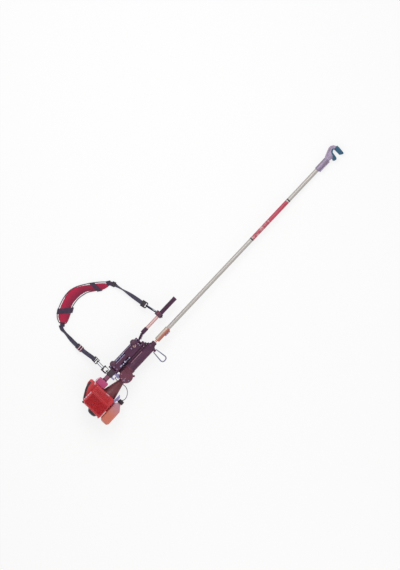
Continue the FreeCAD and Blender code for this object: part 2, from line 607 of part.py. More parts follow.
def engine_covers():
    x, z = DRIVE_X, MOTOR_Z
    outline = [(-142, -606), (-134, COWL_BACK), (62, COWL_BACK), (76, -612), (76, -740), (72, -757),
               (-62, -750), (-90, -733), (-110, -700), (-142, -630)]
    shroud = hollow_prism(outline, SHROUD_LOW, SHROUD_TOP, SHROUD_WALL)
    shroud = shroud.cut(cyl(HOUSING_R + 1, x, -800, z, 800 + CASE_FRONT - 8))
    shroud = shroud.cut(cyl(CONE_R2 + GAP, x, CASE_FRONT - 3, z, 60))
    shroud = shroud.cut(box(-84, -4, -704, -610, SHROUD_TOP - 10, SHROUD_TOP + 1))
    shroud = shroud.cut(box(60, 90, -760, -600, z - 14, 14))
    shroud = shroud.cut(box(-120, -20, PULLEY_Y - 17, PULLEY_Y + 27, SHROUD_LOW - 1, ROPE_Z + 12))
    add("engine_shroud", shroud)
    guard = [(-84, -612), (-72, -600), (60, -600), (74, -612), (74, -756), (-60, -749), (-84, -735)]
    shell = hollow_prism(guard, SHROUD_TOP, GUARD_TOP, SHROUD_WALL)
    for k in range(9):
        px = -62 + 14 * k
        shell = shell.cut(box(px, px + 6, -740, -672, GUARD_TOP - 5, GUARD_TOP + 1))
    add("muffler_guard", shell)
    cowl = soften(box(-106, -33, COWL_BACK, COWL_FRONT, -44, 36), 8,
                  lambda e: abs(e.tangentAt(e.FirstParameter).x) < 0.1)
    cone_room = cyl(CONE_R2 + GAP, x, COWL_BACK - 1, z, 60)
    add("intake_cowl", cowl.cut(cone_room))

    body = box(-80, -40, BORE_Y - 21, BORE_Y + 21, FILTER_TOP, CARB_TOP)
    body = body.cut(cyl(7, -60, BORE_Y, FILTER_TOP - 1, 30, Z_AXIS))
    body = body.cut(cyl(3 + RUN, LEVER_X, BORE_Y - 22, CARB_Z, 44))
    add("carburettor", body)
    for name, y, plate_y in (("choke_lever", BORE_Y + 8, BORE_Y + 24), ("throttle_arm", BORE_Y - 28, BORE_Y - 27)):
        shaft = cyl(3, LEVER_X, y, CARB_Z, 20)
        plate = box(LEVER_X, LEVER_X + LEVER_REACH, plate_y, plate_y + 3, CARB_Z - 2.5, CARB_Z + 2.5)
        add(name, shaft.fuse(plate).fuse(cyl(4.5, LEVER_X, plate_y, CARB_Z, 3)))
    lid = box(-112, 20, FILTER_END, ENGINE_EDGE, ENGINE_LEFT - 10, FILTER_TOP)
    lid = lid.makeChamfer(8, [e for e in lid.Edges if abs(e.tangentAt(e.FirstParameter).z) > 0.9])
    lid = lid.cut(below_ground())
    inside = box(-106, 14, FILTER_END + 6, ENGINE_EDGE - 6, ENGINE_LEFT + 4, FILTER_TOP - 4)
    lid = lid.cut(inside).cut(cyl(7, -60, BORE_Y, FILTER_TOP - 6, 10, Z_AXIS))
    lid = lid.fuse(box(-20, 14, -674, -634, FILTER_TOP, z - 40))
    add("air_filter_case", lid)

    tank = [(80, -608), (94, -596), (120, -598), (146, -632), (148, -738), (138, -752), (96, -752),
            (80, -738)]
    shell = hollow_prism(tank, -98, 46, TANK_WALL, open_low=False)
    outer_edges = [e for e in shell.Edges if abs(e.CenterOfMass.z + 98) < 0.1
                   or abs(e.CenterOfMass.z - 46) < 0.1]
    shell = shell.makeChamfer(2, outer_edges)
    neck = cyl(14, CAP_X, -606, CAP_Z, 24)
    shell = shell.fuse(neck).cut(cyl(11, CAP_X, -609, CAP_Z, 40))
    add("fuel_tank", shell)
    cap = cyl(CAP_R, CAP_X, CAP_Y, CAP_Z, 26)
    cap = soften(cap, 4, lambda e: e.CenterOfMass.y > CAP_Y + 20 and isinstance(e.Curve, Part.Circle))
    add("fuel_cap", cap.cut(cyl(14 + RUN, CAP_X, CAP_Y - 1, CAP_Z, 9.5)))


# ---- sprung handle ---------------------------------------------------------------------------
FRAME_TOP = -197.0
FRAME_END = -464.0
BRACKET = 8.0
EAR_X = -42.0
RAIL_Z = -6.0
CARRIAGE_LEFT = -109.0
CARRIAGE_RIGHT = -44.0
CARRIAGE_LOW = -24.0
CARRIAGE_TOP = 18.0
WINDOW_Y0, WINDOW_Y1 = -402.0, -324.0
NECK_BAR_R = 7.0
COLLAR_LENGTH = 33.0
LINK_PIN_X = -127.5
LINK_PIN_R = 2.5
LINK_R = 1.6
LINK_BEND = 2.2
SPRING_R = 8.6
SPRING_WIRE = 1.0


def handle_frame():
    """The part of the handle's guide that is fixed to the gearbox."""
    back = box(-112, -CYL_R - 8, FRAME_END, FRAME_TOP, CARRIAGE_LOW - 8, CARRIAGE_LOW - 2)
    top = box(-112, -CYL_R - 8, FRAME_TOP - BRACKET, FRAME_TOP, CARRIAGE_LOW - 2, 14)
    low = box(-112, -CYL_R - 8, FRAME_END, FRAME_END + BRACKET, CARRIAGE_LOW - 2, 14)
    web = box(-CYL_R - 10, -CYL_R - 8, CYL_END + 20, FRAME_TOP, CARRIAGE_LOW - 2, 14)
    ear = cyl(7, EAR_X, FRAME_TOP + 8, 2, 8, Z_AXIS)
    ear = ear.fuse(box(EAR_X - 7, EAR_X + 2, FRAME_TOP - 6, FRAME_TOP + 8, 2, 10))
    ear = ear.cut(cyl(3, EAR_X, FRAME_TOP + 8, 0, 12, Z_AXIS))
    frame = back.fuse(top).fuse(low).fuse(web).fuse(ear)
    rails = []
    for x in (RAIL_X, INNER_RAIL_X):
        rail = cyl(RAIL_R, x, FRAME_END, RAIL_Z, FRAME_TOP - FRAME_END)
        frame = frame.cut(rail)
        middle = (WINDOW_Y0 + WINDOW_Y1) / 2
        rails.append(rail.fuse(cyl(RAIL_R + 3.5, x, middle - 3, RAIL_Z, 6)))
    frame = frame.cut(box(-100, -66, FRAME_TOP - BRACKET - 1, FRAME_TOP + 1, -NECK_BAR_R - 2, 20))
    add("handle_frame", frame)
    add("guide_rails", *rails)
    coils = []
    for x in (RAIL_X, INNER_RAIL_X):
        for y0, y1 in ((middle + 4.5, WINDOW_Y1 - HANDLE_PLAY - 1.5),
                       (WINDOW_Y0 + HANDLE_PLAY + 1.5, middle - 4.5)):
            coils.append(spring(x, y0, y1))
    add("handle_springs", *coils)


def spring(x, y0, y1):
    """A round-wire spring about a guide rail."""
    pitch = (y1 - y0) / 6
    helix = Part.makeHelix(pitch, y1 - y0, SPRING_R)
    helix.rotate(V(0, 0, 0), X_AXIS, -90)
    helix.translate(V(x, y0, RAIL_Z))
    start = helix.Edges[0].valueAt(helix.Edges[0].FirstParameter)
    along = helix.Edges[0].tangentAt(helix.Edges[0].FirstParameter)
    section = Part.Wire(Part.makeCircle(SPRING_WIRE, start, along))
    return Part.Wire(helix.Edges).makePipeShell([section], True, True)


def carriage_group():
    y0 = FRAME_END + BRACKET + HANDLE_PLAY + 1
    y1 = FRAME_TOP - BRACKET - HANDLE_PLAY - 1
    body = box(CARRIAGE_LEFT + 5, CARRIAGE_RIGHT, y0, y1, CARRIAGE_LOW, CARRIAGE_TOP)
    body = soften(body, 4, lambda e: e.CenterOfMass.z > CARRIAGE_TOP - 0.1)
    for y in (y1 - 24, y0 + 20):
        body = body.fuse(cyl(20, -104, y, CARRIAGE_LOW, CARRIAGE_TOP + 4 - CARRIAGE_LOW, Z_AXIS))
    for x in (RAIL_X, INNER_RAIL_X):
        body = body.cut(cyl(RAIL_R + RUN, x, y0 - 1, RAIL_Z, y1 - y0 + 2))
    outer_window = box(CARRIAGE_LEFT - 20, -91, WINDOW_Y0, WINDOW_Y1, CARRIAGE_LOW - 1, CARRIAGE_TOP + 1)
    inner_window = box(-64, -38, WINDOW_Y0, WINDOW_Y1, RAIL_Z - 11, CARRIAGE_TOP + 1)
    body = body.cut(outer_window).cut(inner_window)
    neck_path = bent([(HANDLE_X, -96, 0), (HANDLE_X, -146, 0), (-84, y1 + 4, 0), (-82, y1 - 20, 0)],
                     [20, 20])
    neck = wire_rod(neck_path, NECK_BAR_R)
    tube_y0 = -106.0
    body = body.cut(neck)
    add("carriage", body)

    outer = tube(TUBE_R, TUBE_R - 2, HANDLE_X, tube_y0, 0, GRIP_LENGTH + COLLAR_LENGTH - tube_y0 - 4)
    boot = tube(TUBE_R + 2.5, TUBE_R, HANDLE_X, -140, 0, 36).fuse(
        tube(TUBE_R + 2.5, NECK_BAR_R, HANDLE_X, -146, 0, 6))
    boot = boot.cut(neck).cut(outer)
    add("handle_neck", neck.cut(outer), boot)
    add("handle_tube", outer)
    grip = cyl(GRIP_R, HANDLE_X, COLLAR_LENGTH, 0, GRIP_LENGTH)
    grip = soften(grip, 2, lambda e: e.CenterOfMass.y > COLLAR_LENGTH + 10
                  and isinstance(e.Curve, Part.Circle))
    add("grip", grip.cut(cyl(TUBE_R, HANDLE_X, 0, 0, COLLAR_LENGTH + GRIP_LENGTH - 4)))

    collar = box(-132, HANDLE_X + 15, 1, COLLAR_LENGTH, -14, 14)
    collar = soften(collar, 4, lambda e: abs(e.tangentAt(e.FirstParameter).y) > 0.99)
    collar = collar.fuse(cyl(16, HANDLE_X, 1, 0, COLLAR_LENGTH - 1))
    collar = collar.cut(cyl(TUBE_R, HANDLE_X, 0, 0, 60))
    collar = collar.cut(box(HANDLE_X + 11.5, HANDLE_X + 20, 8, 26, -5, 5))
    collar = collar.cut(box(-119.5, -110, 9, 25, 9.5, 15))
    collar = collar.cut(box(-133, LINK_PIN_X + 8, 0, 40, -10.5, 9))
    collar = collar.fuse(cyl(LINK_PIN_R, LINK_PIN_X, 17, -12, 24, Z_AXIS))
    lever_x = HANDLE_X + 18
    lever = cyl(4, lever_x, 9, 0, 16).fuse(box(lever_x, lever_x + 9, 12, 22, -2, 3))
    collar = collar.cut(cyl(4 + RUN, lever_x, 8, 0, 18))
    collar = collar.fuse(box(HANDLE_X + 11.5, lever_x + 3, 3, 8, -5, 5).cut(cyl(TUBE_R, HANDLE_X, 0, 0, 60)))
    collar = collar.fuse(box(HANDLE_X + 11.5, lever_x + 3, 26, 31, -5, 5).cut(cyl(TUBE_R, HANDLE_X, 0, 0, 60)))
    pin = cyl(1.5, lever_x, 4, 0, 26)
    add("throttle_lever", lever.cut(cyl(1.5 + RUN, lever_x, 0, 0, 40)))
    add("control_collar", collar.fuse(pin))
    switch = soften(box(-119, -110.5, 9.5, 24.5, 12.6, 18), 1)
    add("stop_switch", switch)


CLAMP_X0, CLAMP_X1 = -92.0, -50.0
CLAMP_Y0 = -508.0
LINK_X = -99.0
CLIP_LEFT = -132.0
CLIP_R = 3.0


def rear_clamp():
    stub = tube(STUB_R, STUB_R - 3, STUB_X, COWL_FRONT, 0, 62)
    block = soften(box(CLAMP_X0, CLAMP_X1, CLAMP_Y0, FRAME_END, -18, 18), 3)
    eye = box(LINK_X - 9, CLAMP_X0 + 2, -496, -490, -9, 9)
    block = block.fuse(eye).cut(cyl(CLIP_R + 0.9, LINK_X, -500, 0, 20))
    block = block.cut(cyl(STUB_R, STUB_X, CLAMP_Y0 - 1, 0, COWL_FRONT + 62 - CLAMP_Y0 + 1))
    bracket = box(CLAMP_X1, -26, -506, -458, -12, 12)
    bracket = bracket.cut(cyl(11, -38, -485, -13, 26, Z_AXIS)).fuse(box(-34, -10, -478, -452, -8, 8))
    bracket = bracket.cut(cyl(CHAMBER_R, DRIVE_X, CRANK_Y, -80, 160, Z_AXIS))
    bracket = bracket.cut(box(-60, -CYL_R - 8, FRAME_END - 0.01, -440, -40, 40))
    bracket = bracket.cut(cyl(NECK_R + GAP, DRIVE_X, CONE_TOP - 30, MOTOR_Z, 90))
    add("engine_stub", stub)
    add("rear_clamp", block, bracket)

    y_low, y_high = -508.0, -475.0
    corner = 6.0
    gate_x = CLIP_LEFT + 4
    path = bent([(CLIP_LEFT, y_high - 5.5, 0), (CLIP_LEFT, y_low, 0),
                 (LINK_X, y_low, 0), (LINK_X, y_high, 0)], [corner, corner])
    clip = wire_rod(path, CLIP_R).fuse(box(CLIP_LEFT - 3, gate_x + 3, y_high - 8, y_high, -4.4, -2.1))
    clip = clip.fuse(cyl(4.2, gate_x, y_high, -4.4, 2.3, Z_AXIS))
    clip = clip.fuse(cyl(1.5, gate_x, y_high, -4, 6, Z_AXIS))
    gate = cyl(4, gate_x, y_high, -1.6, 3.2, Z_AXIS)
    gate = gate.fuse(cyl(1.5, gate_x + 2, y_high, 0, LINK_X - gate_x - 2 - CLIP_R - 1, X_AXIS))
    add("strap_clip", clip)
    add("clip_gate", gate.cut(cyl(1.5 + RUN, gate_x, y_high, -4, 8, Z_AXIS)))


# ---- throttle cable --------------------------------------------------------------------------
CABLE_R = 2.5
CABLE = [(-32, -482, -12), (-30, -485, -38), (-14, -488, -64), (18, -486, -72), (50, -478, -60),
         (76, -484, -34), (98, -502, -14), (112, -526, -12), (114, -550, -30), (104, -566, -48),
         (90, -580, -52), (77, -591, -42), (77, -591, MOTOR_Z + 11.98)]


def cord_tube(points, r, label):
    """A cord's tube: its arcs are as large as its runs allow."""
    pts = [V(*p) for p in points]
    radii = []
    for a, b, c in zip(pts, pts[1:], pts[2:]):
        half_turn = (b - a).getAngle(c - b) / 2
        radii.append(0.45 * min((b - a).Length, (c - b).Length) / math.tan(half_turn))
    path = bent(points, radii)
    cord = wire_rod(path, r)
    print(label, "length", round(path.Length, 1), "radii", [round(q) for q in radii],
          "volume over section times length", round(cord.Volume / (math.pi * r * r * path.Length), 4))
    return cord


# ---- shoulder strap, given where it lies ------------------------------------------------------
def lie(x, y, z):
    """Where a point of the tool lies."""
    lean = math.radians(LEAN)
    return V(x, y * math.cos(lean) + z * math.sin(lean), z * math.cos(lean) - y * math.sin(lean))


def ribbon(stations, width, thick):
    """Webbing through stations of (x, y, height above the ground, roll in degrees)."""
    pts = [V(x, y, FLOOR + h) for x, y, h, _ in stations]
    sections = []
    for i, (_, _, _, roll) in enumerate(stations):
        before, after = pts[max(i - 1, 0)], pts[min(i + 1, len(pts) - 1)]
        along = (after - before).normalize()
        side = Z_AXIS.cross(along).normalize()
        up = along.cross(side)
        turn = math.radians(roll)
        across = (side * math.cos(turn) + up * math.sin(turn)) * (width / 2)
        through = (up * math.cos(turn) - side * math.sin(turn)) * (thick / 2)
        corners = [pts[i] - across - through, pts[i] + across - through,
                   pts[i] + across + through, pts[i] - across + through]
        sections.append(Part.makePolygon(corners + corners[:1]))
    return Part.makeLoft(sections, True, True)


UPPER_WEB = [(-236, -4, 46, 4), (-268, -8, 36, 10), (-310, -14, 24, 24), (-350, -20, 18, 48),
             (-392, -28, 17, 72), (-430, -36, 15, 58), (-462, -44, 8, 20), (-482, -58, 4.5, 0)]
LOWER_WEB = [(-536, -489, 4.5, 0), (-506, -492, 9, 30), (-478, -495, 14, 55), (-450, -498, 14, 48),
             (-416, -501, 14, 24), (-380, -503, 16, 8), (-330, -502, 26, 0), (-280, -498, 40, 0),
             (-236, -492, 54, 0), (-212, -489, 62, 0)]
BUCKLE_SLOT = 16.0    # from the buckle's middle to the bar that the link pulls on
PAD_LINE = [(-497, -66), (-556, -140), (-602, -236), (-606, -310), (-586, -400), (-538, -480)]


def pad_solid():
    """The crescent-shaped shoulder pad, lying flat."""
    line = [V(x, y, 0) for x, y in PAD_LINE]
    curve = Part.BSplineCurve()
    curve.interpolate(line)
    half = PAD_WIDTH / 2
    left, right = [], []
    count = 10
    for i in range(count + 1):
        u = curve.FirstParameter + (curve.LastParameter - curve.FirstParameter) * i / count
        point = curve.value(u)
        side = V(*curve.tangent(u)[0]).cross(Z_AXIS).normalize()
        narrow = 0.62 if i in (0, count) else 1.0
        left.append(point + side * half * narrow)
        right.append(point - side * half * narrow)
    loop = left + right[::-1]
    z = FLOOR + SEAT
    wire = Part.makePolygon([V(p.x, p.y, z) for p in loop + loop[:1]])
    return Part.Face(wire).extrude(V(0, 0, PAD_THICK))


def strap_group():
    add_on_floor("strap_pad", pad_solid())
    pad_room = pad_solid().makeOffsetShape(SEAT, 0.01)
    webs = []
    for stations in (UPPER_WEB, LOWER_WEB):
        webs.append(ribbon(stations, WEB_WIDTH, WEB_THICK).cut(pad_room))
    buckle, link = buckle_and_link(V(-222, -1, FLOOR + 50), lie(LINK_PIN_X, 17, 0), lie(0, 0, 1),
                                   LINK_PIN_R, 7.0, 45)
    lower_buckle, lower_link = buckle_and_link(V(-203, -489, FLOOR + 66), lie(CLIP_LEFT, -493, 0), lie(0, 1, 0),
                                               CLIP_R, 11.0, 50)
    add_on_floor("strap_buckles", buckle, lower_buckle)
    room = Part.makeCompound([buckle, lower_buckle])
    add_on_floor("strap_webbing", *[web.cut(room) for web in webs])
    add_on_floor("strap_links", link, lower_link)


def buckle_and_link(middle, pin, pin_axis, pin_r, half, roll):
    """A flat buckle, and the wire link that holds it to a pin."""
    towards = (pin - middle).normalize()
    side = Z_AXIS.cross(towards).normalize()
    turn = math.radians(roll)
    side = side * math.cos(turn) + towards.cross(side) * math.sin(turn)
    beyond = (pin_r + LINK_R + RUN) / abs(towards.dot(side.cross(pin_axis).normalize()))
    link = wire_loop(middle + towards * (BUCKLE_SLOT - LINK_R - RUN), pin + towards * beyond, side * half)
    return strap_buckle(middle, towards), link


def wire_loop(near, far, side):
    """A long wire link between the middles of its two ends; side is half its width."""
    along = (far - near).normalize()
    start = (near + far) * 0.5 + side
    corners = [far + side, far - side, near - side, near + side]
    path = bent([start] + corners + [start - along * 0.01], [LINK_BEND] * 4)
    return wire_rod(path, LINK_R)


def strap_buckle(middle, towards):
    """A flat buckle with a bar, in the plane of the webbing."""
    plate = box(-22, 22, -19, 19, -3, 3).cut(box(-15, -2, -15, 15, -4, 4))
    plate = plate.cut(box(4, BUCKLE_SLOT, -15, 15, -4, 4))
    plate = soften(plate, 3, lambda e: upright(e) and e.CenterOfMass.Length > 25)
    pitch = math.degrees(math.asin(towards.z))
    plate.rotate(V(0, 0, 0), Y_AXIS, -pitch)
    plate.rotate(V(0, 0, 0), Z_AXIS, math.degrees(math.atan2(towards.y, towards.x)))
    plate.translate(middle)
    return plate


# ---- build and write --------------------------------------------------------------------------
pole_group()
rod_group()
cylinder_group()
housing_screws = gearbox_group()
add("housing_screws", *housing_screws)
engine_case()
engine_rotor()
engine_covers()
handle_frame()
carriage_group()
rear_clamp()
add("throttle_cable", cord_tube(CABLE, CABLE_R, "throttle cable"))
strap_group()

os.makedirs("parts", exist_ok=True)
for name, solids in nodes.items():
    shape = solids[0] if len(solids) == 1 else Part.makeCompound(solids)
    shape.exportStep("parts/" + name + ".step")
print(len(nodes), "nodes; lean", round(LEAN, 3), "floor", round(FLOOR, 2))
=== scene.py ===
import bpy
import json
import math
from mathutils import Matrix, Vector


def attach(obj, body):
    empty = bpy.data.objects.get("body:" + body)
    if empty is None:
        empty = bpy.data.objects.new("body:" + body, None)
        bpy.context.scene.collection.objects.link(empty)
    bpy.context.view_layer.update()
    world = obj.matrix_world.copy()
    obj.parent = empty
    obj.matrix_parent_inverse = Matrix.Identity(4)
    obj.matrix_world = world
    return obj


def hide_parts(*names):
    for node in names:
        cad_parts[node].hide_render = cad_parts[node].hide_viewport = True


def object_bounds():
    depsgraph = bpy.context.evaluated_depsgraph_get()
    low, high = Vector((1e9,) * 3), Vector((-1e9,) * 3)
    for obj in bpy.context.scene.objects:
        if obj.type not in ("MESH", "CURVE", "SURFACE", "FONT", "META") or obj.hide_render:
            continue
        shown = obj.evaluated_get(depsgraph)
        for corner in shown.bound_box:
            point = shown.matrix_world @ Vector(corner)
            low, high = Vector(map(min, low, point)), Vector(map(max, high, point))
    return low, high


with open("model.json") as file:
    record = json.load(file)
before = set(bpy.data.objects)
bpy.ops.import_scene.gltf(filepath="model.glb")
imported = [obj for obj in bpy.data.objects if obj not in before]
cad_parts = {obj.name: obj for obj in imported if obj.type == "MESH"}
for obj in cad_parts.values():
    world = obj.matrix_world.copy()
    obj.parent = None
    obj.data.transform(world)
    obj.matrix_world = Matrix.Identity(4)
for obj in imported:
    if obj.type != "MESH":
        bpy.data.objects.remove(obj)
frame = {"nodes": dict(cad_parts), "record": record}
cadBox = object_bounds()
print("frame loaded:", len(frame["nodes"]), "nodes")

mm = 0.001
lean = math.radians(2.346241)      # the tool's nose droops this much as it lies
ground = cadBox[0].z



def clearSelection():
    if bpy.context.mode != "OBJECT":
        bpy.ops.object.mode_set(mode="OBJECT")
    for o in list(bpy.context.selected_objects):
        o.select_set(False)


def activate(piece):
    clearSelection()
    piece.select_set(True)
    bpy.context.view_layer.objects.active = piece


def selectFaces(piece, test):
    # test gets a face's middle and normal, both in the piece's own space
    activate(piece)
    bpy.ops.object.mode_set(mode="EDIT")
    bpy.ops.mesh.select_mode(type="FACE")
    bpy.ops.mesh.select_all(action="DESELECT")
    bpy.ops.object.mode_set(mode="OBJECT")
    for p in piece.data.polygons:
        p.select = bool(test(p.center, p.normal))
    bpy.ops.object.mode_set(mode="EDIT")


def applyAll(piece):
    activate(piece)
    for m in list(piece.modifiers):
        bpy.ops.object.modifier_apply(modifier=m.name)


def smooth(piece, angle=35):
    activate(piece)
    bpy.ops.object.shade_smooth_by_angle(angle=math.radians(angle))


def fixNormals(piece):
    activate(piece)
    bpy.ops.object.mode_set(mode="EDIT")
    bpy.ops.mesh.select_all(action="SELECT")
    bpy.ops.mesh.remove_doubles(threshold=0.00001)
    bpy.ops.mesh.normals_make_consistent(inside=False)
    bpy.ops.object.mode_set(mode="OBJECT")


def joinPieces(parts, name):
    clearSelection()
    for p in parts:
        p.select_set(True)
    bpy.context.view_layer.objects.active = parts[0]
    bpy.ops.object.join()
    parts[0].name = name
    return parts[0]


def seat(piece, body, finish, leaning=True):
    # places a piece that was modelled straight, as the tool lies
    activate(piece)
    bpy.ops.object.transform_apply(location=True, rotation=True, scale=True)
    if leaning:
        piece.data.transform(Matrix.Rotation(-lean, 4, "X"))
    piece.data.materials.clear()
    piece.data.materials.append(finish)
    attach(piece, body)
    return piece


def roundBar(name, r, start, end, sides=48):
    # a cylinder between two points, with its own length as local Z
    a, b = Vector(start) * mm, Vector(end) * mm
    clearSelection()
    bpy.ops.mesh.primitive_cylinder_add(vertices=sides, radius=r * mm, depth=(b - a).length,
                                        location=(a + b) / 2,
                                        rotation=(b - a).to_track_quat("Z", "Y").to_euler())
    bar = bpy.context.object
    bar.name = name
    return bar


def block(name, low, high):
    clearSelection()
    lo, hi = Vector(low) * mm, Vector(high) * mm
    bpy.ops.mesh.primitive_cube_add(size=1, location=(lo + hi) / 2)
    piece = bpy.context.object
    piece.name = name
    piece.scale = hi - lo
    bpy.ops.object.transform_apply(location=True, rotation=True, scale=True)
    return piece


def bevelled(piece, width, segments=3, angle=30):
    m = piece.modifiers.new("edge", "BEVEL")
    m.width = width * mm
    m.segments = segments
    m.limit_method = "ANGLE"
    m.angle_limit = math.radians(angle)
    applyAll(piece)
    smooth(piece)
    return piece


def softCopy(node, name, width, segments=3, angle=40):
    # stands for a CAD node, with its edges rounded over
    source = frame["nodes"][node]
    piece = bpy.data.objects.new(name, source.data.copy())
    bpy.context.collection.objects.link(piece)
    activate(piece)
    bpy.ops.object.mode_set(mode="EDIT")
    bpy.ops.mesh.select_all(action="SELECT")
    bpy.ops.mesh.remove_doubles(threshold=0.00001)
    bpy.ops.mesh.dissolve_limited(angle_limit=math.radians(1.5))
    bpy.ops.object.mode_set(mode="OBJECT")
    bevelled(piece, width, segments, angle)
    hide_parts(node)
    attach(piece, bodyOf(node))
    return piece


def swollen(node, name, grow, test):
    # stands for a CAD node of thin wire that looks thicker away from its fixings
    piece = softCopy(node, name, 0.05, 1, 80)
    for v in piece.data.vertices:
        if test(v.co):
            v.co += v.normal * grow * mm
    return piece


def bodyOf(node):
    for body, nodes in frame["record"]["behaviour"]["bodies"].items():
        if node in nodes:
            return body


def dress(node, finish):
    mesh = frame["nodes"][node].data
    mesh.materials.clear()
    mesh.materials.append(finish)


# finishes

def srgb(r, g, b):
    def lin(c):
        c = c / 255
        return c / 12.92 if c <= 0.04045 else ((c + 0.055) / 1.055) ** 2.4
    return (lin(r), lin(g), lin(b), 1.0)


def scaled(c, k):
    return (min(c[0] * k, 1), min(c[1] * k, 1), min(c[2] * k, 1), 1.0)


class Finish:
    # a material's node tree, with the few joins that this object's finishes share
    def __init__(self, name, color, rough, metal=0.0):
        self.mat = bpy.data.materials.new(name)
        self.mat.use_nodes = True
        self.tree = self.mat.node_tree
        self.nodes = self.tree.nodes
        self.bsdf = self.nodes["Principled BSDF"]
        self.bsdf.inputs["Base Color"].default_value = color
        self.bsdf.inputs["Roughness"].default_value = rough
        self.bsdf.inputs["Metallic"].default_value = metal
        self.coord = self.nodes.new("ShaderNodeTexCoord")
        self.heights = []
        self.color = color
        self.colorOut = None
        self.edgeRadius = 0.0

    def link(self, a, b):
        self.tree.links.new(a, b)

    def add(self, kind, **values):
        node = self.nodes.new(kind)
        for k, v in values.items():
            setattr(node, k, v)
        return node

    def mapped(self, scale=(1, 1, 1), turn=(0, 0, 0), source="Object"):
        m = self.add("ShaderNodeMapping")
        m.inputs["Scale"].default_value = scale
        m.inputs["Rotation"].default_value = turn
        self.link(self.coord.outputs[source], m.inputs["Vector"])
        return m.outputs["Vector"]

    def noise(self, scale, detail=3.0, vector=None, rough=0.55):
        n = self.add("ShaderNodeTexNoise")
        n.inputs["Scale"].default_value = scale
        n.inputs["Detail"].default_value = detail
        n.inputs["Roughness"].default_value = rough
        self.link(vector or self.coord.outputs["Object"], n.inputs["Vector"])
        return n.outputs["Fac"]

    def wave(self, scale, vector, axis="X", distort=0.0):
        w = self.add("ShaderNodeTexWave", wave_type="BANDS", bands_direction=axis)
        w.inputs["Scale"].default_value = scale
        w.inputs["Distortion"].default_value = distort
        self.link(vector, w.inputs["Vector"])
        return w.outputs["Fac"]

    def ramp(self, value, stops):
        r = self.add("ShaderNodeValToRGB")
        e = r.color_ramp.elements
        while len(e) < len(stops):
            e.new(0.5)
        for i, (at, c) in enumerate(stops):
            e[i].position = at
            e[i].color = c if len(c) == 4 else (*c, 1)
        self.link(value, r.inputs["Fac"])
        return r.outputs["Color"]

    def grey(self, value, low, high, a=0.35, b=0.65):
        return self.ramp(value, [(a, (low,) * 3), (b, (high,) * 3)])

    def math(self, op, a, b=None):
        m = self.add("ShaderNodeMath", operation=op)
        for i, v in enumerate((a, b)):
            if v is None:
                continue
            if isinstance(v, (int, float)):
                m.inputs[i].default_value = v
            else:
                self.link(v, m.inputs[i])
        return m.outputs[0]

    def mix(self, fac, a, b, how="MIX"):
        m = self.add("ShaderNodeMix", data_type="RGBA", blend_type=how)
        for socket, v in ((m.inputs[0], fac), (m.inputs[6], a), (m.inputs[7], b)):
            if isinstance(v, bpy.types.NodeSocket):
                self.link(v, socket)
            else:
                socket.default_value = v
        return m.outputs[2]

    def tint(self, fac, other):
        self.colorOut = self.mix(fac, self.colorOut or self.color, other)

    def mottle(self, scale, low, high, detail=4.0):
        n = self.noise(scale, detail)
        self.colorOut = self.ramp(n, [(0.3, scaled(self.color, low)), (0.7, scaled(self.color, high))])

    def roughen(self, scale, low, high):
        self.link(self.grey(self.noise(scale, 5.0), low, high), self.bsdf.inputs["Roughness"])

    def bump(self, height, strength, distance):
        self.heights.append((height, strength, distance * mm))

    def edges(self, radius, wearColor=None, amount=0.6):
        # rounds the look of sharp edges, and rubs the colour off them
        b = self.add("ShaderNodeBevel", samples=4)
        b.inputs["Radius"].default_value = radius * mm
        self.edge = b.outputs["Normal"]
        self.edgeRadius = radius
        if wearColor:
            g = self.add("ShaderNodeNewGeometry")
            dot = self.add("ShaderNodeVectorMath", operation="DOT_PRODUCT")
            self.link(b.outputs["Normal"], dot.inputs[0])
            self.link(g.outputs["Normal"], dot.inputs[1])
            rub = self.math("SUBTRACT", 1.0, dot.outputs["Value"])
            patch = self.grey(self.noise(90, 5.0), 0.0, 1.0, 0.45, 0.6)
            mask = self.math("MULTIPLY", self.grey(rub, 0.0, 1.0, 0.02, 0.12), patch)
            self.tint(self.math("MULTIPLY", mask, amount), wearColor)

    def done(self):
        if self.colorOut:
            self.link(self.colorOut, self.bsdf.inputs["Base Color"])
        last = self.edge if self.edgeRadius else None
        for height, strength, distance in self.heights:
            b = self.add("ShaderNodeBump")
            b.inputs["Strength"].default_value = strength
            b.inputs["Distance"].default_value = distance
            self.link(height, b.inputs["Height"])
            if last:
                self.link(last, b.inputs["Normal"])
            last = b.outputs["Normal"]
        if last:
            self.link(last, self.bsdf.inputs["Normal"])
        return self.mat


def paintedCasting(name, color, wear, rough=0.42):
    f = Finish(name, color, rough)
    f.bsdf.inputs["Specular IOR Level"].default_value = 0.28
    f.mottle(14, 0.8, 1.2)
    f.edges(0.9, wear, 0.7)
    f.roughen(60, rough - 0.08, rough + 0.14)
    f.bump(f.noise(420, 2.0), 0.25, 0.25)
    f.bump(f.noise(28, 3.0), 0.12, 0.6)
    return f.done()


def bareCasting(name, color, rough=0.5):
    f = Finish(name, color, rough, 0.55)
    f.mottle(22, 0.78, 1.15)
    f.edges(0.8, scaled(color, 1.5), 0.5)
    f.bump(f.noise(650, 3.0), 0.35, 0.2)
    return f.done()


def drawnTube(name, color, rough, metal):
    # fine drawing lines along the tube, faint scuffs across it
    f = Finish(name, color, rough, metal)
    lines = f.noise(260, 2.0, f.mapped((1, 0.02, 1)))
    scuffs = f.grey(f.noise(35, 6.0, f.mapped((1, 0.35, 1))), 0.0, 1.0, 0.58, 0.72)
    f.colorOut = f.ramp(lines, [(0.3, scaled(color, 0.9)), (0.7, scaled(color, 1.06))])
    f.tint(f.math("MULTIPLY", scuffs, 0.35), scaled(color, 0.72))
    f.edges(0.6)
    f.link(f.grey(lines, rough - 0.06, rough + 0.1), f.bsdf.inputs["Roughness"])
    f.bump(lines, 0.15, 0.08)
    return f.done()


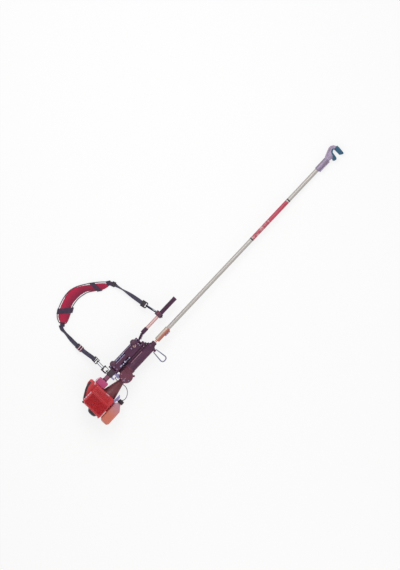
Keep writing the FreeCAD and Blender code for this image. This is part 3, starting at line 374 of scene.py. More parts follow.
def brightSteel(name, color, rough):
    f = Finish(name, color, rough, 1.0)
    f.mottle(40, 0.85, 1.1)
    f.edges(0.4)
    f.roughen(140, max(rough - 0.06, 0.03), rough + 0.1)
    return f.done()


def mouldedPlastic(name, color, rough, gloss=0.0, grain=0.12):
    f = Finish(name, color, rough)
    f.mottle(9, 0.9, 1.08, 3.0)
    f.edges(1.1, scaled(color, 1.5), 0.3)
    f.roughen(45, rough - 0.05, rough + 0.1)
    f.bump(f.noise(900, 2.0), grain, 0.12)
    f.bsdf.inputs["Coat Weight"].default_value = gloss
    f.bsdf.inputs["Coat Roughness"].default_value = 0.22
    return f.done()


def moulded(name, color, rough=0.75):
    f = Finish(name, color, rough)
    f.mottle(30, 0.8, 1.25)
    f.edges(0.7)
    f.bump(f.noise(700, 4.0), 0.3, 0.18)
    f.bsdf.inputs["Specular IOR Level"].default_value = 0.35
    return f.done()


def wovenCloth(name, color, dark, paintedShade, shadeCentre, pitch=0.9):
    # plain weave, in threads of about pitch millimetres; the cloth darkens with painted shade near the point given
    # after the shade colour
    f = Finish(name, color, 0.88)
    scale = 500 / pitch
    straight = f.mapped()
    warp = f.wave(scale, straight, "X", 0.6)
    weft = f.wave(scale, straight, "Y", 0.6)
    threads = f.math("MAXIMUM", warp, weft)
    f.mottle(11, 0.84, 1.12, 5.0)
    away = f.add("ShaderNodeVectorMath", operation="DISTANCE")
    f.link(f.coord.outputs["Object"], away.inputs[0])
    away.inputs[1].default_value = shadeCentre
    # painted shade: the cloth darkens towards the shade colour close to the given point, on the pad's inner side
    f.tint(f.grey(away.outputs["Value"], 0.9, 0.0, 0.135, 0.2), paintedShade)
    f.tint(f.grey(threads, 0.5, 0.0, 0.2, 0.8), dark)
    f.bump(threads, 0.5, 0.25)
    f.bump(f.noise(38, 4.0), 0.25, 1.2)
    f.bsdf.inputs["Sheen Weight"].default_value = 0.25
    f.bsdf.inputs["Sheen Roughness"].default_value = 0.5
    return f.done()


def wovenTape(name, color, dark, light):
    # webbing: ribs run along the tape, and its own UV map follows it
    f = Finish(name, color, 0.8)
    ribs = f.wave(3.5, f.mapped(source="UV"), "X")
    picks = f.wave(60, f.mapped(source="UV"), "Y", 1.0)
    f.mottle(60, 0.8, 1.2)
    f.tint(f.grey(ribs, 0.55, 0.0, 0.1, 0.55), dark)
    f.tint(f.grey(picks, 0.0, 0.35, 0.4, 0.9), light)
    f.bump(ribs, 0.5, 0.3)
    f.bump(picks, 0.35, 0.15)
    f.bsdf.inputs["Sheen Weight"].default_value = 0.15
    return f.done()


def acrossTint(f, axis, start, end, other):
    # turns the colour gradually towards another, between two places along an axis
    sep = f.add("ShaderNodeSeparateXYZ")
    f.link(f.coord.outputs["Object"], sep.inputs[0])
    span = f.add("ShaderNodeMapRange")
    span.inputs["From Min"].default_value = start * mm
    span.inputs["From Max"].default_value = end * mm
    f.link(sep.outputs[axis], span.inputs["Value"])
    f.tint(span.outputs[0], other)


def twoTonePlastic(name, color, rough, axis, start, end, other):
    f = Finish(name, color, rough)
    f.mottle(9, 0.92, 1.06, 3.0)
    acrossTint(f, axis, start, end, other)
    f.edges(1.1)
    f.roughen(45, rough - 0.05, rough + 0.1)
    f.bump(f.noise(900, 2.0), 0.05, 0.12)
    f.bsdf.inputs["Coat Weight"].default_value = 0.15
    return f.done()


def sideLitTube(name, color, rough, metal, axis, start, end, other):
    f = Finish(name, color, rough, metal)
    lines = f.noise(260, 2.0, f.mapped((1, 0.02, 1)))
    f.colorOut = f.ramp(lines, [(0.3, scaled(color, 0.9)), (0.7, scaled(color, 1.06))])
    # painted light and shade across the round tube: the colour turns from the paler first colour on one side to the
    # darker other colour on the far side
    acrossTint(f, axis, start, end, other)
    f.edges(0.6, scaled(color, 1.3), 0.4)
    f.bump(lines, 0.15, 0.08)
    return f.done()


plum = srgb(78, 40, 66)
finishes = {
    "pale_tube": drawnTube("paleTube", srgb(177, 172, 167), 0.38, 0.35),
    "cast_grey": bareCasting("castGrey", srgb(146, 132, 154)),
    "teal_rubber": moulded("tealRubber", srgb(52, 92, 118)),
    "dark_cast": paintedCasting("plumCasting", plum, srgb(150, 125, 150)),
    "maroon_cast": paintedCasting("maroonCasting", srgb(112, 58, 64), srgb(172, 126, 138)),
    # the coupling's pale grey on the -X side and brown on the +X side are painted light and shade across it
    "bronze_tube": sideLitTube("bronzeTube", srgb(196, 184, 172), 0.4, 0.3, "X", -8, 3, srgb(170, 104, 88)),
    "handle_metal": drawnTube("handleMetal", srgb(200, 162, 160), 0.35, 0.5),
    "bare_steel": brightSteel("bareSteel", srgb(146, 140, 168), 0.34),
    "chromed": brightSteel("chromed", srgb(196, 150, 138), 0.16),
    "raw_alloy": bareCasting("rawAlloy", srgb(138, 128, 172)),
    "bronze": brightSteel("bearingBronze", srgb(170, 125, 70), 0.35),
    "black_rubber": moulded("blackRubber", srgb(78, 46, 72)),
    "black_plastic": mouldedPlastic("blackPlastic", srgb(38, 24, 36), 0.5),
    "red_plastic": mouldedPlastic("redPlastic", srgb(186, 10, 28), 0.4, 0.25),
    "magenta_plastic": mouldedPlastic("magentaPlastic", srgb(182, 54, 112), 0.4, 0.25),
    "tank_plastic": twoTonePlastic("tankPlastic", srgb(204, 112, 90), 0.42, "Y", -690, -610, srgb(182, 126, 140)),
    "red_button": mouldedPlastic("redButton", srgb(150, 62, 76), 0.45),
    # the third colour is painted shade that darkens the pad towards its inner side
    "pad_cloth": wovenCloth("padCloth", srgb(186, 26, 70), srgb(104, 12, 40), srgb(98, 20, 58),
                            (-0.43, -0.27, -0.07)),
    "dark_webbing": wovenTape("darkWebbing", srgb(56, 50, 72), srgb(24, 20, 34), srgb(104, 98, 122)),
    "cable_sheath": moulded("cableSheath", srgb(128, 124, 132), 0.5),
}
for part in frame["record"]["subparts"]:
    dress(part["node"], finishes[part["material_slot"]])
print("finishes made:", len(finishes))


# ribbed hand grip

grip = {"axisX": -103.0, "front": 33.0, "length": 137.0, "core": 13.4, "rib": 15.0,
        "ribWidth": 3.6, "ribPitch": 6.1, "ribs": 20, "cuff": 14.0}


def makeGrip():
    g = grip
    x, y0, y1 = g["axisX"], g["front"], g["front"] + g["length"]
    core = roundBar("gripSleeve", g["core"], (x, y0 + 1, 0), (x, y1 - 1, 0), 64)
    selectFaces(core, lambda c, n: abs(n.z) > 0.9)
    bpy.ops.mesh.inset(thickness=2 * mm)
    bpy.ops.object.mode_set(mode="OBJECT")
    bevelled(core, 1.2, 2)
    parts = [core]
    first = roundBar("rib", g["rib"], (x, y0, 0), (x, y0 + g["ribWidth"], 0), 64)
    bevelled(first, 1.1, 3)
    parts.append(first)
    for i in range(1, g["ribs"]):
        rib = first.copy()
        rib.data = first.data.copy()
        bpy.context.collection.objects.link(rib)
        rib.location.y += i * g["ribPitch"] * mm
        parts.append(rib)
    cuff = roundBar("cuff", g["rib"], (x, y1 - g["cuff"], 0), (x, y1, 0), 64)     # smooth end
    bevelled(cuff, 2.5, 4)
    parts.append(cuff)
    sleeve = joinPieces(parts, "gripSleeve")
    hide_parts("grip")
    return seat(sleeve, "handle", finishes["black_rubber"])


makeGrip()
print("grip made")


# printed film on the pole, plain colours only

film = {"start": 806.0, "end": 1140.0, "solidFrom": 966.0, "r": 14.35, "rings": (799.0, 1152.0),
        "ringR": 14.6, "ringHalf": 4.0, "thick": 0.25}


def makeFilm():
    f = Finish("roseFilm", srgb(186, 66, 88), 0.4)
    sep = f.add("ShaderNodeSeparateXYZ")
    f.link(f.coord.outputs["Object"], sep.inputs[0])
    along = sep.outputs["Y"]
    mottled = f.noise(70, 6.0, f.mapped((1, 0.5, 1)))
    bars = f.wave(9, f.mapped(), "Y", 5.0)
    broken = f.math("MULTIPLY", f.grey(mottled, 0.0, 1.0, 0.4, 0.58), f.grey(bars, 0.2, 1.0, 0.3, 0.6))
    lower = f.math("LESS_THAN", along, film["solidFrom"] * mm)
    f.mottle(40, 0.85, 1.12)
    f.tint(f.math("MULTIPLY", lower, f.math("MULTIPLY", broken, 0.75)), srgb(214, 190, 186))
    f.tint(f.math("MULTIPLY", lower, f.math("MULTIPLY", f.grey(f.noise(120, 4.0), 0.0, 1.0, 0.55, 0.62), 0.6)),
           srgb(92, 40, 56))
    skin = roundBar("poleFilm", film["r"], (0, film["start"], 0), (0, film["end"], 0), 64)
    selectFaces(skin, lambda c, n: abs(n.z) > 0.9)
    bpy.ops.mesh.delete(type="FACE")
    bpy.ops.object.mode_set(mode="OBJECT")
    m = skin.modifiers.new("wall", "SOLIDIFY")
    m.thickness = film["thick"] * mm
    m.offset = -1
    applyAll(skin)
    smooth(skin)
    seat(skin, "pole", f.done())
    rings = []
    half = film["ringHalf"]
    for y in film["rings"]:
        rings.append(bevelled(roundBar("ring", film["ringR"], (0, y - half, 0), (0, y + half, 0), 64), 0.5, 2))
    bands = joinPieces(rings, "poleBands")
    seat(bands, "pole", finishes["black_plastic"])


makeFilm()
print("pole film made")


# shoulder pad: a filled crescent, its binding, bands and end tabs

pad = {"stations": [((-508, -66), (-478, -66)), ((-535, -92), (-482, -97)), ((-561, -122), (-495, -125)),
                    ((-594, -165), (-522, -162)), ((-627, -218), (-548, -200)), ((-643, -264), (-560, -242)),
                    ((-645, -297), (-564, -274)), ((-640, -338), (-561, -312)), ((-627, -383), (-552, -346)),
                    ((-607, -429), (-530, -390)), ((-580, -460), (-516, -425)), ((-548, -475), (-512, -450))],
       "core": 9.0, "voxel": 5.0, "pressure": 4.0, "swell": 7.0, "crown": 21.0, "binding": 3.0,
       "mid": 10.2, "endGap": 0.012, "bands": (0.272, 0.745), "bandDeep": 0.2, "seam": 0.62, "seamDeep": 0.16}


def along(points, u):
    # a smooth line through the points, u from 0 to 1
    last = len(points) - 1
    at = min(max(u * last, 0), last - 1e-6)
    i = int(at)
    t = at - i
    p0, p1, p2, p3 = [Vector(points[min(max(k, 0), last)]) for k in (i - 1, i, i + 1, i + 2)]
    return 0.5 * ((2 * p1) + (p2 - p0) * t + (2 * p0 - 5 * p1 + 4 * p2 - p3) * t * t
                  + (3 * p1 - p0 - 3 * p2 + p3) * t ** 3)


def padPlace(u, v):
    # u runs along the pad and v across it, from -1 at the outer edge to 1 at the inner
    outer = along([Vector((*s[0], 0)) for s in pad["stations"]], u) * mm
    inner = along([Vector((*s[1], 0)) for s in pad["stations"]], u) * mm
    return outer + (inner - outer) * (v + 1) / 2


def makePad():
    inset, gap = 0.985, pad["endGap"]                     # the filled body starts just inside the binding
    clearSelection()
    bpy.ops.mesh.primitive_grid_add(x_subdivisions=14, y_subdivisions=80, size=2)
    body = bpy.context.object
    body.name = "padBody"
    mid = ground + 0.0105
    for v in body.data.vertices:
        p = padPlace(gap + (1 - 2 * gap) * (v.co.y + 1) / 2, v.co.x * inset)
        v.co = (p.x, p.y, mid)
    m = body.modifiers.new("fill", "SOLIDIFY")
    m.thickness = pad["core"] * mm
    m.offset = 0
    applyAll(body)
    fixNormals(body)
    m = body.modifiers.new("skin", "REMESH")
    m.mode = "VOXEL"
    m.voxel_size = pad["voxel"] * mm
    applyAll(body)
    start = [v.co.copy() for v in body.data.vertices]
    m = body.modifiers.new("cloth", "CLOTH")
    s = m.settings
    s.use_pressure = True
    s.uniform_pressure_force = pad["pressure"]
    s.quality = 5
    s.mass = 0.2
    s.tension_stiffness = 12
    s.compression_stiffness = 12
    s.effector_weights.gravity = 0
    for i in range(1, 21):
        bpy.context.scene.frame_set(i)
    applyAll(body)
    bpy.context.scene.frame_set(1)
    for v, old in zip(body.data.vertices, start):
        move = v.co - old
        if move.length > pad["swell"] * mm:
            v.co = old + move.normalized() * pad["swell"] * mm
    low, high = ground + 0.0006, ground + pad["crown"] * mm
    centres = [padPlace(i / 200, 0) for i in range(201)]
    for v in body.data.vertices:
        k = min(range(201), key=lambda i: (centres[i].x - v.co.x) ** 2 + (centres[i].y - v.co.y) ** 2)
        u = k / 200
        outer, inner = padPlace(u, -1), padPlace(u, 1)
        across = (v.co.xy - centres[k].xy).dot((inner - outer).xy.normalized()) / ((inner - outer).length / 2)
        crowned = max(0.0, 1 - abs(across) ** 2.6)
        # a sewn line inside the edge, and the pad is drawn in under its bands
        channel = 1 - pad["seamDeep"] * math.exp(-((abs(across) - pad["seam"]) / 0.045) ** 2)
        for at, deep in ((pad["bands"][0], pad["bandDeep"]), (pad["bands"][1], pad["bandDeep"]), (0.5, 0.05)):
            channel -= deep * math.exp(-((u - at) / 0.016) ** 2)
        z = v.co.z - mid
        lift = (0.0052 + 0.0062 * crowned) * channel
        v.co.z = mid + max(-0.0098, min(0.0102, z / (pad["core"] * mm / 2) * lift))
        v.co.z = min(max(v.co.z, low), high)
    m = body.modifiers.new("round", "SUBSURF")
    m.levels = m.render_levels = 1
    applyAll(body)
    activate(body)
    bpy.ops.object.shade_smooth()
    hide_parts("strap_pad")
    seat(body, "handle", finishes["pad_cloth"], leaning=False)


def edgeLine():
    # once round the pad, just inside its outline
    gap = pad["endGap"]
    line = []
    for start, end, side, tip in ((gap, 1 - gap, -1, 0.995), (1 - gap, gap, 1, 0.005)):
        line += [padPlace(start + (end - start) * i / 40, side * 0.97) for i in range(41)]
        line += [padPlace(tip, side * (1 - i / 2)) for i in range(1, 4)]
    return line


def makeBinding():
    points = edgeLine()
    mid = ground + pad["mid"] * mm
    curve = bpy.data.curves.new("binding", "CURVE")
    curve.dimensions = "3D"
    spline = curve.splines.new("NURBS")
    spline.points.add(len(points) - 1)
    for p, co in zip(spline.points, points):
        p.co = (co.x, co.y, mid, 1)
    spline.order_u = 3
    spline.use_cyclic_u = True
    curve.bevel_depth = pad["binding"] * mm
    curve.bevel_resolution = 4
    tube = bpy.data.objects.new("binding", curve)
    bpy.context.collection.objects.link(tube)
    activate(tube)
    bpy.ops.object.convert(target="MESH")
    tube = bpy.context.object
    tube.name = "padBinding"
    for v in tube.data.vertices:                     # the tape is folded over the edge, taller than wide
        v.co.z = mid + (v.co.z - mid) * 1.5
    smooth(tube, 60)
    seat(tube, "handle", finishes["binding_tape"], leaning=False)


def bandRound(name, u, half, slant, v0=-1.04, v1=1.04):
    # a band of webbing wrapped round the pad; slant slants it along the pad
    clearSelection()
    bpy.ops.mesh.primitive_cylinder_add(vertices=72, radius=1, depth=2, end_fill_type="NOTHING")
    band = bpy.context.object
    band.name = name
    selectFaces(band, lambda c, n: True)
    bpy.ops.mesh.subdivide(number_cuts=3)
    bpy.ops.object.mode_set(mode="OBJECT")
    for v in band.data.vertices:
        a = math.atan2(v.co.y, v.co.x)
        cs, sn = math.cos(a), math.sin(a)
        across = math.copysign(abs(cs) ** 0.62, cs)
        up = math.copysign(abs(sn) ** 0.75, sn)
        side = (v0 + v1) / 2 + across * (v1 - v0) / 2
        p = padPlace(u + slant * side, side)
        ahead = (padPlace(u + slant * side + 0.01, side) - p).normalized()
        q = p + ahead * v.co.z * half * mm
        height = 0.0103 + up * (0.0082 + 0.0022 * (1 - abs(across) ** 3))
        v.co = (q.x, q.y, max(ground + 0.0004, ground + height))
    m = band.modifiers.new("tape", "SOLIDIFY")
    m.thickness = 1.6 * mm
    m.offset = 1
    applyAll(band)
    for v in band.data.vertices:
        v.co.z = max(v.co.z, ground + 0.0002)
    fixNormals(band)
    smooth(band, 50)
    seat(band, "handle", finishes["binding_tape"], leaning=False)


def makeTabs():
    tabs = []
    for u, out in ((0.0, -1), (1.0, 1)):
        mid = padPlace(u, 0)
        near = padPlace(0.97 if out > 0 else 0.03, 0)
        ahead = ((mid - near) * out).normalized()
        tab = block("tab", (-17, -16, -3.5), (17, 16, 3.5))
        selectFaces(tab, lambda c, n: n.y * out > 0.9)
        bpy.ops.transform.resize(value=(0.85, 1, 0.8))
        bpy.ops.object.mode_set(mode="OBJECT")
        bevelled(tab, 1.5, 3)
        turn = math.atan2(ahead.y, ahead.x) - math.pi / 2
        tab.rotation_euler = (0, 0, turn)
        shift = ahead * out * 7 * mm
        tab.location = (mid.x + shift.x, mid.y + shift.y, ground + 0.0095)
        activate(tab)
        bpy.ops.object.transform_apply(location=True, rotation=True, scale=True)
        tabs.append(tab)
    both = joinPieces(tabs, "padTabs")
    seat(both, "handle", finishes["binding_tape"], leaning=False)


f = Finish("bindingTape", srgb(62, 44, 66), 0.85)
ribs = f.wave(420, f.mapped(turn=(0, 0, 0.7)), "X", 0.4)
f.mottle(50, 0.8, 1.25)
f.bump(ribs, 0.35, 0.2)
finishes["binding_tape"] = f.done()
makePad()
makeBinding()
bandRound("padBandUpper", 0.215, 17, 0.0, -1.04, 1.24)
bandRound("padBandLower", 0.785, 19, -0.03, -1.04, 1.24)
makeTabs()
print("shoulder pad made")


# webbing: two lengths of tape that twist on their way

webbing = {"width": 28.0, "thick": 1.8,
           "upper": [(-228, -3, 48, 4), (-268, -8, 36, 10), (-310, -14, 24, 24), (-350, -20, 18, 48),
                     (-392, -28, 17, 72), (-430, -36, 15, 58), (-462, -44, 10, 20), (-490, -62, 9.5, 0)],
           "lower": [(-530, -478, 9.5, 0), (-506, -492, 10, 30), (-478, -495, 14, 55), (-450, -498, 14, 48),
                     (-416, -501, 14, 24), (-380, -503, 16, 8), (-330, -502, 26, 0), (-280, -498, 40, 0),
                     (-236, -492, 54, 0), (-208, -489, 64, 0)]}


def makeTape(name, stations, width, lift=0.0):
    clearSelection()
    bpy.ops.mesh.primitive_grid_add(x_subdivisions=8, y_subdivisions=110, size=2, calc_uvs=True)
    tape = bpy.context.object
    tape.name = name
    line = [Vector((x, y, h)) for x, y, h, roll in stations]
    rolls = [Vector((roll, 0, 0)) for x, y, h, roll in stations]
    up = Vector((0, 0, 1))
    for v in tape.data.vertices:
        u = (v.co.y + 1) / 2
        p = along(line, u)
        ahead = (along(line, min(u + 0.01, 1)) - along(line, max(u - 0.01, 0))).normalized()
        side = up.cross(ahead).normalized()
        over = ahead.cross(side)
        roll = math.radians(along(rolls, u).x)
        side, over = (side * math.cos(roll) + over * math.sin(roll),
                      over * math.cos(roll) - side * math.sin(roll))
        cup = 0.6 * (1 - v.co.x ** 2)                # the tape cups a little across its width
        q = (p + side * v.co.x * width / 2 + over * (cup + lift)) * mm
        v.co = (q.x, q.y, max(q.z + ground, ground + 0.001))
    m = tape.modifiers.new("thick", "SOLIDIFY")
    m.thickness = webbing["thick"] * mm
    m.offset = 0
    applyAll(tape)
    smooth(tape, 60)
    return tape


tapes = [makeTape("upperTape", webbing["upper"], webbing["width"]),
         makeTape("lowerTape", webbing["lower"], webbing["width"]),
         makeTape("foldBack", webbing["lower"][4:9], webbing["width"] - 1.5, 2.6)]
tape = joinPieces(tapes, "strapTape")
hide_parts("strap_webbing")
seat(tape, "handle", finishes["dark_webbing"], leaning=False)


def layAlong(piece, middle, towards):
    # turns a piece modelled along X towards a direction, and moves it to its place over the ground
    d = Vector(towards).normalized()
    piece.rotation_euler = (0, -math.asin(d.z), math.atan2(d.y, d.x))
    piece.location = Vector(middle) * mm + Vector((0, 0, ground))
    return piece


def ladder(name, middle, towards, size, bars):
    # a flat moulded adjuster with cross bars
    w, l, t = size
    plate = block(name, (-l / 2, -w / 2, -t / 2), (l / 2, w / 2, t / 2))
    selectFaces(plate, lambda c, n: abs(n.z) > 0.9)
    bpy.ops.mesh.inset(thickness=3.2 * mm)
    bpy.ops.transform.resize(value=(1, 1, 0.55))
    bpy.ops.object.mode_set(mode="OBJECT")
    parts = [bevelled(plate, 1.1, 3)]
    for at in bars:
        bar = block("bar", (at - 2, -w / 2 + 2, -t / 2 - 1.4), (at + 2, w / 2 - 2, t / 2 + 1.4))
        parts.append(bevelled(bar, 1.3, 3))
    return layAlong(joinPieces(parts, name), middle, towards)


keeper = ladder("tapeKeeper", (-460, -43, 10), (-30, -10, -5), (35, 24, 9), (-8, 8))
adjuster = ladder("tapeAdjuster", (-337, -502, 25), (60, 1, 14), (37, 50, 8), (-20, -6, 8, 20))
for piece in (keeper, adjuster):
    seat(piece, "handle", finishes["black_plastic"], leaning=False)
softCopy("strap_buckles", "strapBuckles", 1.3, 3)
print("webbing made")


# pieces shared by the engine and the handle

def prismPiece(name, points, low, high):
    # an upright block with the given outline
    count = len(points)
    clearSelection()
    bpy.ops.mesh.primitive_cylinder_add(vertices=count, radius=1, depth=2)
    piece = bpy.context.object
    piece.name = name
    for v in piece.data.vertices:
        k = round(math.atan2(v.co.y, v.co.x) / (2 * math.pi / count)) % count
        v.co = (points[k][0] * mm, points[k][1] * mm, (high if v.co.z > 0 else low) * mm)
    fixNormals(piece)
    return piece


def strip(name, points, width, low, thick):
    # a flat band that follows a line of points, each x, y
    clearSelection()
    bpy.ops.mesh.primitive_grid_add(x_subdivisions=2, y_subdivisions=36, size=2)
    piece = bpy.context.object
    piece.name = name
    line = [Vector((x, y, 0)) for x, y in points]
    for v in piece.data.vertices:
        u = (v.co.y + 1) / 2
        p = along(line, u)
        ahead = (along(line, min(u + 0.01, 1)) - along(line, max(u - 0.01, 0))).normalized()
        q = p + Vector((ahead.y, -ahead.x, 0)) * v.co.x * width / 2
        v.co = (q.x * mm, q.y * mm, low * mm)
    m = piece.modifiers.new("thick", "SOLIDIFY")
    m.thickness = thick * mm
    m.offset = 1
    applyAll(piece)
    fixNormals(piece)
    if min(v.co.z for v in piece.data.vertices) < (low - 0.1) * mm:
        activate(piece)
        bpy.ops.transform.translate(value=(0, 0, thick * mm))
    return bevelled(piece, min(thick, width) * 0.3, 3)


# engine covers: a rounded guard with its grille and mesh, trims with painted highlight strips, and the tank

cover = {"guard": [(-84, -735), (-60, -749), (74, -756), (74, -612), (60, -600), (-72, -600), (-84, -612)],
         "guardLow": 44.0, "guardTop": 74.0, "round": 7.0, "wall": 2.4,
         "slots": (-73.0, 48.0, -643.0, -617.0), "slotPitch": 6.7,
         "mesh": (-66.0, 66.0, -741.0, -666.0), "wire": 1.7, "barHalf": 1.7}


def makeGuard():
    c = cover
    shell = prismPiece("guardShell", c["guard"], c["guardLow"] + 0.4, c["guardTop"])
    low = (c["guardLow"] + 1) * mm
    selectFaces(shell, lambda m, n: n.z < -0.9)
    bpy.ops.mesh.delete(type="FACE")
    bpy.ops.object.mode_set(mode="OBJECT")
    bevelled(shell, c["round"], 5)
    m = shell.modifiers.new("wall", "SOLIDIFY")
    m.thickness = c["wall"] * mm
    m.offset = -1
    applyAll(shell)
    smooth(shell)
    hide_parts("muffler_guard")
    seat(shell, "machine", finishes["red_plastic"])

    top = c["guardTop"]
    x0, x1, y0, y1 = c["slots"]
    a0, a1, b0, b1 = c["mesh"]
    backs = [block("back", (x0, y0, top - 0.5), (x1, y1, top + 0.5)),
             block("back", (a0, b0, top - 0.5), (a1, b1, top + 0.4))]
    seat(joinPieces(backs, "guardDark"), "machine", finishes["deep_red"])

    bars = []
    x = x0
    while x < x1 + 1:
        bar = block("bar", (x - c["barHalf"], y0 - 2, top - 1), (x + c["barHalf"], y1 + 2, top + 2.6))
        bars.append(bevelled(bar, 1.2, 2))
        x += c["slotPitch"]
    for y in (y0 - 2.5, y1 + 2.5):
        bars.append(bevelled(block("rail", (x0 - 4, y - 2, top - 1), (x1 + 4, y + 2, top + 2.8)), 1.3, 2))
    bars.append(bevelled(block("ridge", (-78, -660, top - 1), (69, -649, top + 4.5)), 2.6, 4))
    clearSelection()
    bpy.ops.mesh.primitive_grid_add(x_subdivisions=26, y_subdivisions=15, size=1,
                                    location=((a0 + a1) / 2 * mm, (b0 + b1) / 2 * mm, (top + 1.6) * mm))
    net = bpy.context.object
    net.scale = ((a1 - a0) * mm, (b1 - b0) * mm, 1)
    bpy.ops.object.transform_apply(location=True, rotation=True, scale=True)
    m = net.modifiers.new("wires", "WIREFRAME")
    m.thickness = c["wire"] * mm
    applyAll(net)
    bars.append(net)
    seat(joinPieces(bars, "guardGrille"), "machine", finishes["red_plastic"])


def makeTrims():
    top = cover["guardTop"]
    # the pale edge block on the guard's left side and the curved strip along the cowl's side are painted highlights,
    # light caught on those edges; the short pale bar lies along the shroud's front edge
    pale = [bevelled(block("edge", (-84.5, -733, 58), (-78, -664, top + 2.2)), 2.2, 3),
            bevelled(block("bar", (0, -607, top - 1), (26, -602, top + 2.2)), 1.4, 3),
            strip("cowlEdge", [(-105, -560), (-111, -578), (-107, -596), (-97, -613)], 7.5, 36.5, 9)]
    seat(joinPieces(pale, "paleBarAndHighlightStrips"), "machine", finishes["pale_trim"])
    # the small dark disc at X -22 is painted shade standing for a screw hole
    dark = [strip("sideBand", [(-129, -618), (-127, -646), (-117, -676), (-101, -702), (-90, -724)], 13, 44.1, 1.6),
            bevelled(roundBar("holeShadeDisc", 5.2, (-22, -726, top + 0.2), (-22, -726, top + 3.2), 32), 0.8, 2)]
    for y in (-684, -703, -722):
        dark.append(block("line", (-85, y - 1.2, top - 4), (-77.5, y + 1.2, top + 2.7)))
    seat(joinPieces(dark, "darkTrims"), "machine", finishes["black_plastic"])


tankShape = {"outline": [(80, -738), (96, -752), (138, -752), (148, -738), (146, -632), (120, -598), (94, -596),
                         (80, -608)],
             "low": -98.0, "high": 46.0, "round": 9.0, "neck": 13.4, "capX": 107.0, "capZ": -20.0,
             "seam": [(79, -738.5), (95.5, -753), (138.5, -753), (149, -738.5), (147, -631.5), (120.5, -597),
                      (93.5, -595), (79, -607.5)],
             "capR": 17.4, "knurls": 22}


def makeTank():
    t = tankShape
    body = bevelled(prismPiece("tankBody", t["outline"], t["low"], t["high"]), t["round"], 5)
    neck = roundBar("neck", t["neck"], (t["capX"], -612, t["capZ"]), (t["capX"], -583, t["capZ"]))
    seam = bevelled(prismPiece("seam", t["seam"], -16, -12), 1.2, 2)
    rib = bevelled(block("rib", (88, -736, 43), (94, -612, 47.6)), 1.6, 3)
    whole = joinPieces([body, neck, seam, rib], "tankBody")
    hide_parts("fuel_tank")
    seat(whole, "machine", finishes["tank_plastic"])


def makeCap():
    x, z, r = tankShape["capX"], tankShape["capZ"], tankShape["capR"]
    core = roundBar("capBody", r, (x, -590, z), (x, -564, z), 72)
    bpy.ops.object.transform_apply(location=True, rotation=True, scale=True)
    selectFaces(core, lambda c, n: n.y < -0.9)
    bpy.ops.mesh.inset(thickness=3.1 * mm)
    bpy.ops.mesh.extrude_region_move(TRANSFORM_OT_translate={"value": (0, 9 * mm, 0)})
    bpy.ops.object.mode_set(mode="OBJECT")
    selectFaces(core, lambda c, n: n.y > 0.9 and c.y > -570 * mm)
    bpy.ops.mesh.inset(thickness=4.5 * mm)
    bpy.ops.transform.translate(value=(0, 1.2 * mm, 0))
    bpy.ops.object.mode_set(mode="OBJECT")
    bevelled(core, 1.4, 3)
    parts = [core]
    for i in range(tankShape["knurls"]):
        a = 2 * math.pi * i / tankShape["knurls"]
        px, pz = x + (r - 0.2) * math.cos(a), z + (r - 0.2) * math.sin(a)
        parts.append(bevelled(roundBar("knurl", 1.7, (px, -588, pz), (px, -567, pz), 12), 0.6, 2))
    whole = joinPieces(parts, "capBody")
    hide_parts("fuel_cap")
    seat(whole, "cap", finishes["black_plastic"])


# this pale pink also paints the highlight strips on the engine covers
finishes["pale_trim"] = mouldedPlastic("paleTrim", srgb(226, 176, 190), 0.35, 0.3)
# a much lighter plum for the cast ridges, a painted highlight; its edge colour is lighter still
finishes["worn_plum"] = paintedCasting("highlightPlum", srgb(158, 116, 134), srgb(210, 180, 190))
finishes["deep_red"] = mouldedPlastic("deepRed", srgb(190, 10, 30), 0.6)
finishes["plum_plastic"] = mouldedPlastic("plumPlastic", srgb(78, 42, 64), 0.5)
finishes["wire_grey"] = brightSteel("wireGrey", srgb(104, 106, 132), 0.3)
finishes["chamber_paint"] = paintedCasting("chamberPaint", srgb(106, 54, 72), srgb(176, 132, 140))
clampPaint = Finish("clampPaint", srgb(44, 22, 34), 0.5)
clampPaint.mottle(20, 0.8, 1.2)
acrossTint(clampPaint, "X", -51, -49, srgb(146, 138, 176))
clampPaint.edges(0.9, srgb(170, 150, 170), 0.6)
finishes["clamp_paint"] = clampPaint.done()
finishes["stub_pink"] = paintedCasting("stubPink", srgb(140, 84, 108), srgb(190, 140, 160))
makeGuard()
makeTrims()
makeTank()
makeCap()
for node, finish in (("recoil_housing", "black_plastic"), ("engine_stub", "stub_pink"), ("gland_nut", "dark_cast"),
                     ("rest_bail", "wire_grey"), ("strap_links", "wire_grey"), ("crank_housing", "chamber_paint"),
                     ("crank_cover", "chamber_paint"), ("rear_clamp", "clamp_paint"),
                     ("control_collar", "plum_plastic")):
    dress(node, finishes[finish])
softCopy("intake_cowl", "cowlBody", 5, 4)
softCopy("air_filter_case", "filterBody", 2.5, 3)
ring = bevelled(roundBar("stubRing", 18, (-70, -547.5, 0), (-70, -541, 0), 64), 1.2, 3)
seat(ring, "machine", finishes["black_plastic"])
print("engine covers made")


# handle: ribbed boot, screws and caps on the carriage

bellows = {"x": -103.0, "from": -107.0, "to": -145.0, "pitch": 5.4, "r": 14.6,
           "strutFrom": (-101.0, -152.0), "strutTo": (-86.5, -189.0), "strutRings": 8, "strutR": 11.0}


def makeBellows():
    b = bellows
    parts = []
    y = b["from"]
    while y > b["to"]:
        parts.append(bevelled(roundBar("fold", b["r"], (b["x"], y, 0), (b["x"], y - 3.4, 0), 48), 1.4, 3))
        y -= b["pitch"]
    start, end = Vector((*b["strutFrom"], 0)), Vector((*b["strutTo"], 0))
    step = (end - start) / b["strutRings"]
    for i in range(b["strutRings"]):
        p = start + step * i
        parts.append(bevelled(roundBar("fold", b["strutR"], p, p + step.normalized() * 3, 40), 1.1, 3))
    seat(joinPieces(parts, "neckBellows"), "handle", finishes["black_rubber"])


